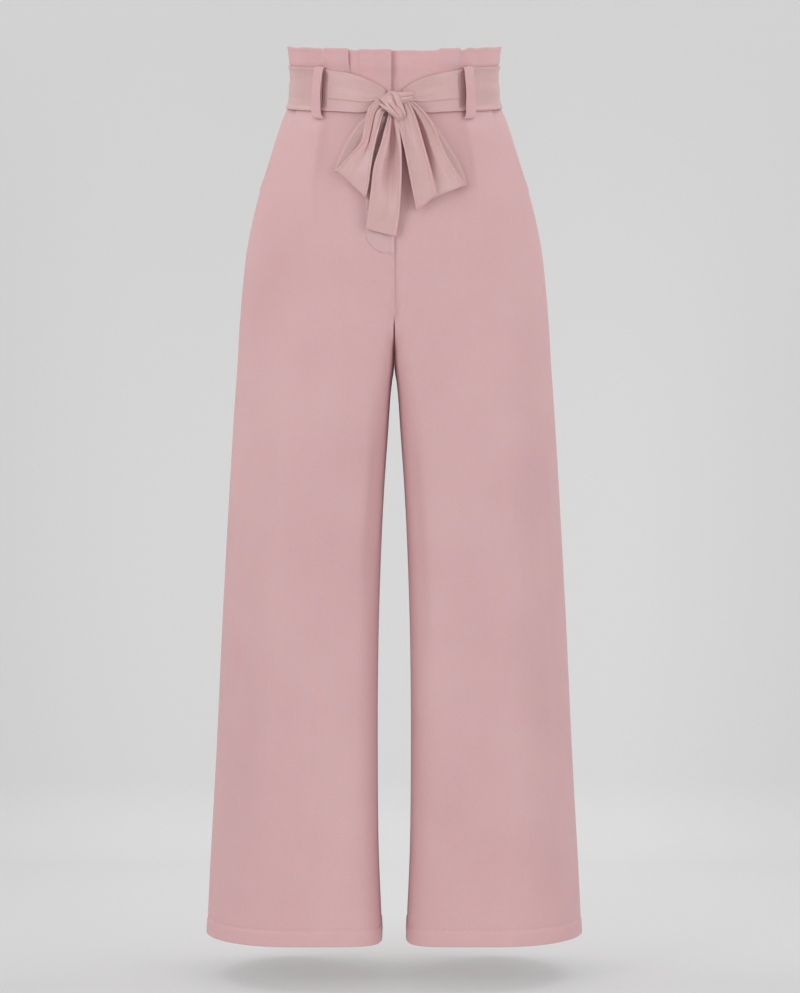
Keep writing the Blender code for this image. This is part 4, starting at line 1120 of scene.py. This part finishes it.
# The bow's ribbons: each row is one section, with its two edges and how far they stand off the trousers
bow = {
    "wall": 0.0011,
    "steps": 34,
    "rowsPerSection": 9,
    "seam": (0.00156, 0.00104),  # the doubled seam along each edge is full this far in, then falls over this
    "seamRise": 0.0012,
    "columns": ("leftX", "leftZ", "leftOff", "rightX", "rightZ", "rightOff", "crease", "creaseAt"),
    "bow_loop_right": (
        (-0.019, -0.03, 0.0085, -0.0075, -0.044, 0.0085, 0.0, 0.5),
        (-0.0299, -0.0424, 0.0125, -0.0128, -0.049, 0.0135, 0.001, 0.5),
        (-0.0346, -0.0658, 0.0165, -0.0172, -0.0658, 0.0165, 0.002, 0.5),
        (-0.0387, -0.0834, 0.0175, -0.0225, -0.0881, 0.018, 0.002, 0.45),
        (-0.0505, -0.0964, 0.0138, -0.0264, -0.1104, 0.0155, 0.001, 0.45),
        (-0.0622, -0.1093, 0.01, -0.0293, -0.1327, 0.0112, -0.001, 0.5),
        (-0.069, -0.1138, 0.0072, -0.0329, -0.1474, 0.007, -0.0008, 0.5),
        (-0.0675, -0.1046, 0.004, -0.0317, -0.1363, 0.0038, 0.0, 0.5),
        (-0.0628, -0.0917, 0.0034, -0.0293, -0.1151, 0.0034, 0.0, 0.5),
        (-0.054, -0.0752, 0.0036, -0.0235, -0.0917, 0.004, 0.0, 0.5),
        (-0.0428, -0.0588, 0.0046, -0.016, -0.0682, 0.0075, 0.0, 0.5),
        (-0.03, -0.048, 0.0072, -0.01, -0.0506, 0.011, 0.0, 0.5),
    ),
    "bow_loop_left": (
        (0.013, -0.042, 0.0085, 0.02, -0.032, 0.0085, 0.0, 0.4),
        (0.0153, -0.0541, 0.01, 0.0317, -0.0412, 0.013, 0.003, 0.4),
        (0.02, -0.0764, 0.011, 0.0458, -0.0611, 0.0175, 0.005, 0.36),
        (0.0258, -0.101, 0.0112, 0.0559, -0.0864, 0.018, 0.0042, 0.33),
        (0.0317, -0.1245, 0.011, 0.0657, -0.1063, 0.0165, 0.0022, 0.33),
        (0.0376, -0.1433, 0.0095, 0.0775, -0.1234, 0.0112, 0.0, 0.5),
        (0.0411, -0.1503, 0.007, 0.0836, -0.1312, 0.008, -0.0005, 0.5),
        (0.0399, -0.1386, 0.004, 0.0845, -0.1222, 0.0045, 0.0, 0.5),
        (0.0352, -0.1128, 0.0032, 0.0763, -0.1022, 0.0034, 0.0, 0.5),
        (0.0282, -0.0893, 0.0032, 0.0657, -0.0858, 0.0034, 0.0, 0.5),
        (0.0211, -0.0658, 0.004, 0.0528, -0.0658, 0.004, 0.0, 0.5),
        (0.015, -0.05, 0.007, 0.038, -0.049, 0.0068, 0.0, 0.5),
    ),
    "sash_tail_long": (
        (-0.006, -0.046, 0.0102, 0.0035, -0.046, 0.0102, 0.0, 0.6),
        (-0.008, -0.058, 0.0138, 0.0035, -0.058, 0.013, 0.0006, 0.6),
        (-0.011, -0.0694, 0.0175, 0.0059, -0.0694, 0.016, 0.005, 0.62),
        (-0.0156, -0.087, 0.019, 0.0085, -0.0905, 0.0165, 0.008, 0.62),
        (-0.0235, -0.1128, 0.0168, 0.0088, -0.121, 0.0142, 0.008, 0.62),
        (-0.027, -0.141, 0.0122, 0.0075, -0.148, 0.0106, 0.005, 0.6),
        (-0.0296, -0.1621, 0.0086, 0.0059, -0.1691, 0.0076, 0.0022, 0.6),
        (-0.0324, -0.1846, 0.0052, 0.0023, -0.1932, 0.005, 0.0004, 0.6),
    ),
    "sash_tail_short": (
        (0.002, -0.044, 0.0104, 0.016, -0.032, 0.0104, 0.0, 0.5),
        (0.0036, -0.059, 0.014, 0.0228, -0.046, 0.015, 0.0006, 0.45),
        (0.008, -0.074, 0.016, 0.029, -0.065, 0.0185, 0.0016, 0.4),
        (0.013, -0.095, 0.017, 0.0357, -0.089, 0.0188, 0.0022, 0.35),
        (0.0182, -0.1222, 0.0132, 0.043, -0.1151, 0.0165, 0.001, 0.35),
        (0.0264, -0.1635, 0.008, 0.0496, -0.1447, 0.0122, 0.0005, 0.5),
    ),
    # creases: share of the length from and to, place across from and to, spread, and height off the trousers
    "creases": {
        "rise": 0.25,
        "hold": 0.4,
        "knotAt": 0.0,
        "columns": ("start", "end", "acrossStart", "acrossEnd", "spread", "height"),
        "bow_loop_right": (
            (0.0, 0.36, 0.24, 0.14, 0.07, 0.0014),
            (0.0, 0.44, 0.48, 0.52, 0.05, -0.0026),
            (0.0, 0.36, 0.72, 0.8, 0.07, 0.0016),
            (0.0, 0.3, 0.92, 0.9, 0.05, -0.0014),
            (0.2, 0.56, 0.34, 0.3, 0.12, 0.0016),
            (0.6, 1.0, 0.4, 0.5, 0.08, 0.0012),
        ),
        "bow_loop_left": (
            (0.0, 0.46, 0.16, 0.12, 0.07, 0.002),
            (0.0, 0.48, 0.42, 0.34, 0.09, -0.0046),
            (0.0, 0.5, 0.72, 0.62, 0.08, 0.0022),
            (0.0, 0.34, 0.9, 0.86, 0.05, -0.0014),
            (0.6, 1.0, 0.55, 0.5, 0.08, 0.0012),
        ),
        "sash_tail_long": (
            (0.0, 0.3, 0.18, 0.14, 0.06, -0.001),
            (0.0, 0.8, 0.3, 0.26, 0.11, 0.0018),
            (0.02, 0.94, 0.58, 0.56, 0.13, -0.0048),
            (0.0, 0.6, 0.9, 0.92, 0.06, 0.0012),
        ),
        "sash_tail_short": (
            (0.0, 0.5, 0.12, 0.08, 0.07, -0.001),
            (0.0, 0.62, 0.4, 0.3, 0.08, -0.0014),
            (0.0, 0.9, 0.7, 0.62, 0.12, 0.0018),
            (0.3, 1.0, 0.9, 0.88, 0.06, -0.0007),
        ),
    },
    "flats": {
        "bow_loop_right": (0.042, 0.19),
        "bow_loop_left": (0.042, 0.2),
        "sash_tail_long": (0.04, 0.152),
        "sash_tail_short": (0.03, 0.12),
    },
}


def ribbonGrid(table, name):
    # A ribbon between its two edges: its grid, its width and other columns, and shares along and across it
    rows = numbered(table["columns"], table[name])
    last = len(table[name]) - 1
    places = np.linspace(0, last, last * table["rowsPerSection"] + 1)[:, None]
    at = {column: curveOf(rows, column, places) for column in table["columns"]}
    t = edgeSteps(table["steps"], 0.02)
    left = frontPoints(at["leftX"], at["leftZ"], at["leftOff"])
    right = frontPoints(at["rightX"], at["rightZ"], at["rightOff"])
    width = np.linalg.norm(right - left, axis=2)
    return left + (right - left) * t[None, :, None], width, at, places / last, t


def raisedGrid(grid, lift):
    # A ribbon's points moved off the trousers
    normals = gridNormals(grid)
    facing = np.sign(-normals[..., 1:2].mean())
    return grid + normals * facing * lift[..., None]


def makeRibbon(name):
    grid, width, at, share, t = ribbonGrid(bow, name)
    reach = np.where(t < at["creaseAt"], t / at["creaseAt"], (1 - t) / (1 - at["creaseAt"]))
    grid[..., 1] += at["crease"] * smoothStep(reach)
    full, falls = bow["seam"]
    seam = bow["seamRise"] * (1 - smoothStep((np.minimum(t, 1 - t) * width - full) / falls))
    grid = raisedGrid(raisedGrid(grid, seam), creaseLift(bow["creases"], name, share, t))
    piece = clothShell(name + "_ribbon", name, grid, bow["wall"], "sash_crepe", centred=True)


for name, flat in bow["flats"].items():
    makeRibbon(name)

# The knot: one wide turn over the front, from the right sash to the lower left, and the other behind it
knot = {
    "core": {
        "x": -0.0005,
        "z": -0.0385,
        "off": 0.013,
        "half": (0.009, 0.006, 0.0135),
        "lean": 33.0,  # degrees
        "rings": 32,
        "steps": 48,
    },
    "steps": 40,
    "rowsPerSection": 9,
    "wall": 0.0011,
    # each row is one section of a turn: its two edges, how far they stand off, and how far it swells between
    "columns": ("leftX", "leftZ", "leftOff", "rightX", "rightZ", "rightOff", "swell"),
    "over": (
        (-0.0215, -0.0325, 0.0064, -0.0055, -0.02, 0.0064, 0.0),
        (-0.016, -0.038, 0.0115, 0.0004, -0.0216, 0.012, 0.0018),
        (-0.0111, -0.043, 0.0155, 0.0047, -0.0265, 0.0165, 0.0045),
        (-0.0059, -0.0477, 0.0165, 0.0082, -0.0347, 0.0175, 0.0062),
        (-0.0018, -0.0512, 0.0165, 0.0117, -0.043, 0.017, 0.0062),
        (0.0023, -0.0547, 0.015, 0.0138, -0.05, 0.0155, 0.0042),
        (0.0053, -0.0582, 0.0115, 0.0129, -0.0553, 0.0115, 0.001),
    ),
    "behind": (
        (0.024, -0.0205, 0.0064, 0.0225, -0.0322, 0.0064, 0.0004),
        (0.0155, -0.0222, 0.01, 0.0155, -0.0335, 0.0105, 0.0016),
        (0.0085, -0.0226, 0.0135, 0.0098, -0.0362, 0.014, 0.0028),
        (0.003, -0.0226, 0.014, 0.004, -0.0395, 0.014, 0.002),
        (-0.002, -0.024, 0.011, -0.001, -0.04, 0.011, 0.0),
    ),
    # creases: share of the turn from and to, place across from and to, spread, height
    "creases": {
        "rise": 0.25,
        "hold": 0.4,
        "knotAt": 0.0,
        "columns": ("start", "end", "acrossStart", "acrossEnd", "spread", "height"),
        "over": (
            (0.05, 0.7, 0.86, 0.5, 0.038, -0.0036),
            (0.1, 0.6, 0.68, 0.6, 0.034, -0.003),
            (0.28, 0.86, 0.8, 0.62, 0.06, 0.0014),
            (0.2, 0.95, 0.34, 0.3, 0.045, -0.0024),
            (0.42, 1.0, 0.66, 0.8, 0.04, -0.0024),
            (0.0, 0.44, 0.2, 0.1, 0.045, -0.0026),
        ),
        "behind": (
            (0.0, 0.8, 0.4, 0.46, 0.08, -0.0012),
            (0.1, 0.9, 0.72, 0.66, 0.07, 0.0008),
        ),
    },
    "flats": {"over": (0.024, 0.052), "behind": (0.016, 0.026)},
}


def makeTurn(name):
    grid, _, at, share, t = ribbonGrid(knot, name)
    grid[..., 1] -= at["swell"] * np.sqrt(np.maximum(1 - (2 * t - 1) ** 2, 0.0))
    grid = raisedGrid(grid, creaseLift(knot["creases"], name, share, t))
    piece = clothShell(f"knot_turn_{name}", "knot", grid, knot["wall"], "sash_crepe", centred=True)


def makeCore():
    # An egg inside the knot, which fills the gaps between its turns
    core = knot["core"]
    rings, steps = core["rings"], core["steps"]
    down = np.linspace(0, math.pi, rings + 1)[1:-1, None]
    turn = np.arange(steps) * 2 * math.pi / steps
    ball = np.stack(arrays(np.sin(down) * np.cos(turn), np.sin(down) * np.sin(turn), np.cos(down)), axis=-1)
    ball = np.concatenate(([[0.0, 0.0, 1.0]], ball.reshape(-1, 3), [[0.0, 0.0, -1.0]]))
    across, depth, length = (ball * core["half"]).T
    lean = math.radians(core["lean"])
    x = across * math.cos(lean) - length * math.sin(lean)
    z = across * math.sin(lean) + length * math.cos(lean)
    vertices = frontPoints(core["x"], core["z"], core["off"]) + np.stack((x, depth, z), axis=-1)
    index = 1 + np.arange((rings - 1) * steps).reshape(rings - 1, steps)
    after = np.roll(index, -1, axis=1)
    sides = np.stack((index[:-1], index[1:], after[1:], after[:-1]), axis=-1).reshape(-1, 4).tolist()
    top = [[0, near, far] for near, far in zip(index[0].tolist(), after[0].tolist())]
    foot = [[len(ball) - 1, far, near] for near, far in zip(index[-1].tolist(), after[-1].tolist())]
    dress(meshPiece("knot_core", vertices, sides + top + foot, "sash_crepe"), "sash_crepe", "knot")


makeCore()
for name, flat in knot["flats"].items():
    makeTurn(name)
print("bow made")

# The studio: a pale wall with a soft cove into the floor, and wide soft lights
studio = {
    "floor": -1.0785,
    "wallAt": 1.0,
    "cove": 0.12,
    "coveSteps": 13,
    "reach": 4.0,
    "height": 3.0,
    "wallColour": "#A0A0A0",
    "roughness": 0.9,
    "paintedGlow": (0.35, 0.24),  # painted light: the backdrop glows of itself, brightest behind the trousers and dimmer from there over these distances
    "glowReach": (0.3, 1.4),
    "glowMiddle": (0.1, 0.5, -0.75),
    "worldStrength": 0.48,
    "lights": {  # place, what each is aimed at, size and watts
        "leftSoft": ((-2.5, -2.2, 0.1), (0.0, 0.0, -0.4), (1.6, 2.2), 29),
        "rightSoft": ((2.5, -2.2, 0.1), (0.0, 0.0, -0.4), (1.6, 2.2), 33),
        "key": ((-1.9, -2.4, 0.8), (0.0, 0.0, -0.3), (0.6, 0.6), 8),
        "frontFill": ((0.2, -3.6, -0.9), (0.0, 0.0, -0.7), (1.2, 1.2), 16),
        "leftWash": ((-1.3, 0.3, 1.6), (0.0, 0.2, -1.0), (1.2, 1.2), 15),
        "rightWash": ((1.3, 0.3, 1.6), (0.0, 0.2, -1.0), (1.2, 1.2), 15),
    },
}


def backdropMaterial():
    # A pale backdrop that glows of itself as painted light, brightest behind the trousers, so that shadows on
    # it stay pale
    colours = {"Base Color": linearColour(studio["wallColour"]), "Emission Color": linearColour("#FFFFFF")}
    material, tree, shader = newMaterial("paintedGlowBackdrop", {**colours, "Roughness": studio["roughness"]})
    place = addNode(tree, "TexCoord", {})
    measure = {"operation": "DISTANCE", 1: studio["glowMiddle"]}
    away = addNode(tree, "VectorMath", measure, [(0, place, "Object")])
    (near, far), (bright, dim) = studio["glowReach"], studio["paintedGlow"]
    fade = {"From Min": near, "From Max": far, "To Min": bright, "To Max": dim}
    fade["interpolation_type"] = "SMOOTHSTEP"
    paintedGlow = addNode(tree, "MapRange", fade, [("Value", away, "Value")])
    tree.links.new(paintedGlow.outputs["Result"], shader.inputs["Emission Strength"])
    facing = addNode(tree, "NewGeometry", {})
    clear = addNode(tree, "BsdfTransparent", {})
    sides = [(0, facing, "Backfacing"), (1, shader, "BSDF"), (2, clear, "BSDF")]
    seen = addNode(tree, "MixShader", {}, sides)
    tree.links.new(seen.outputs[0], tree.nodes["Material Output"].inputs["Surface"])
    return material


def makeBackdrop():
    cove, floor, reach = studio["cove"], studio["floor"], studio["reach"]
    start = studio["wallAt"] - cove
    turns = np.linspace(0, math.pi / 2, studio["coveSteps"])
    profile = [(start + cove * math.sin(t), floor + cove * (1 - math.cos(t))) for t in turns]
    profile = [(-reach, floor), *profile, (studio["wallAt"], studio["height"])]
    vertices = [(x, y, z) for x in (-reach, reach) for y, z in profile]
    count = len(profile)
    faces = [(i, count + i, count + i + 1, i + 1) for i in range(count - 1)]
    mesh = bpy.data.meshes.new("backdrop")
    mesh.from_pydata(vertices, [], faces)
    mesh.shade_smooth()
    mesh.materials.append(backdropMaterial())
    placed("backdrop", mesh)


def addLight(name, at, aim, size, watts):
    light = bpy.data.lights.new(name, "AREA")
    light.shape = "RECTANGLE"
    light.size, light.size_y = size
    light.energy = watts
    lamp = placed(name, light)
    lamp.location = at
    away = np.array(at, float) - np.array(aim, float)
    lamp.rotation_euler = (math.atan2(math.hypot(*away[:2]), away[2]), 0.0, math.atan2(away[0], -away[1]))
    lamp.visible_camera = False


makeBackdrop()
for name, settings in studio["lights"].items():
    addLight(name, *settings)

world = bpy.data.worlds.new("softRoom")
world.use_nodes = True
world.node_tree.nodes["Background"].inputs["Color"].default_value = linearColour("#FFFFFF")
world.node_tree.nodes["Background"].inputs["Strength"].default_value = studio["worldStrength"]
bpy.context.scene.world = world
bpy.context.scene.view_settings.view_transform = "Standard"

# The camera, straight on from a little above the knees. HalfSeen is half the width it sees at its distance.
view = {"x": 0.007, "distance": 3.0, "level": -0.4983, "halfSeen": 0.6057, "sensor": 36.0}
camera = placed("camera", bpy.data.cameras.new("camera"))
camera.location = (view["x"], -view["distance"], view["level"])
camera.rotation_euler = (math.pi / 2, 0.0, 0.0)
camera.data.sensor_width = view["sensor"]
camera.data.lens = view["sensor"] / 2 / (view["halfSeen"] / view["distance"])
bpy.context.scene.camera = camera
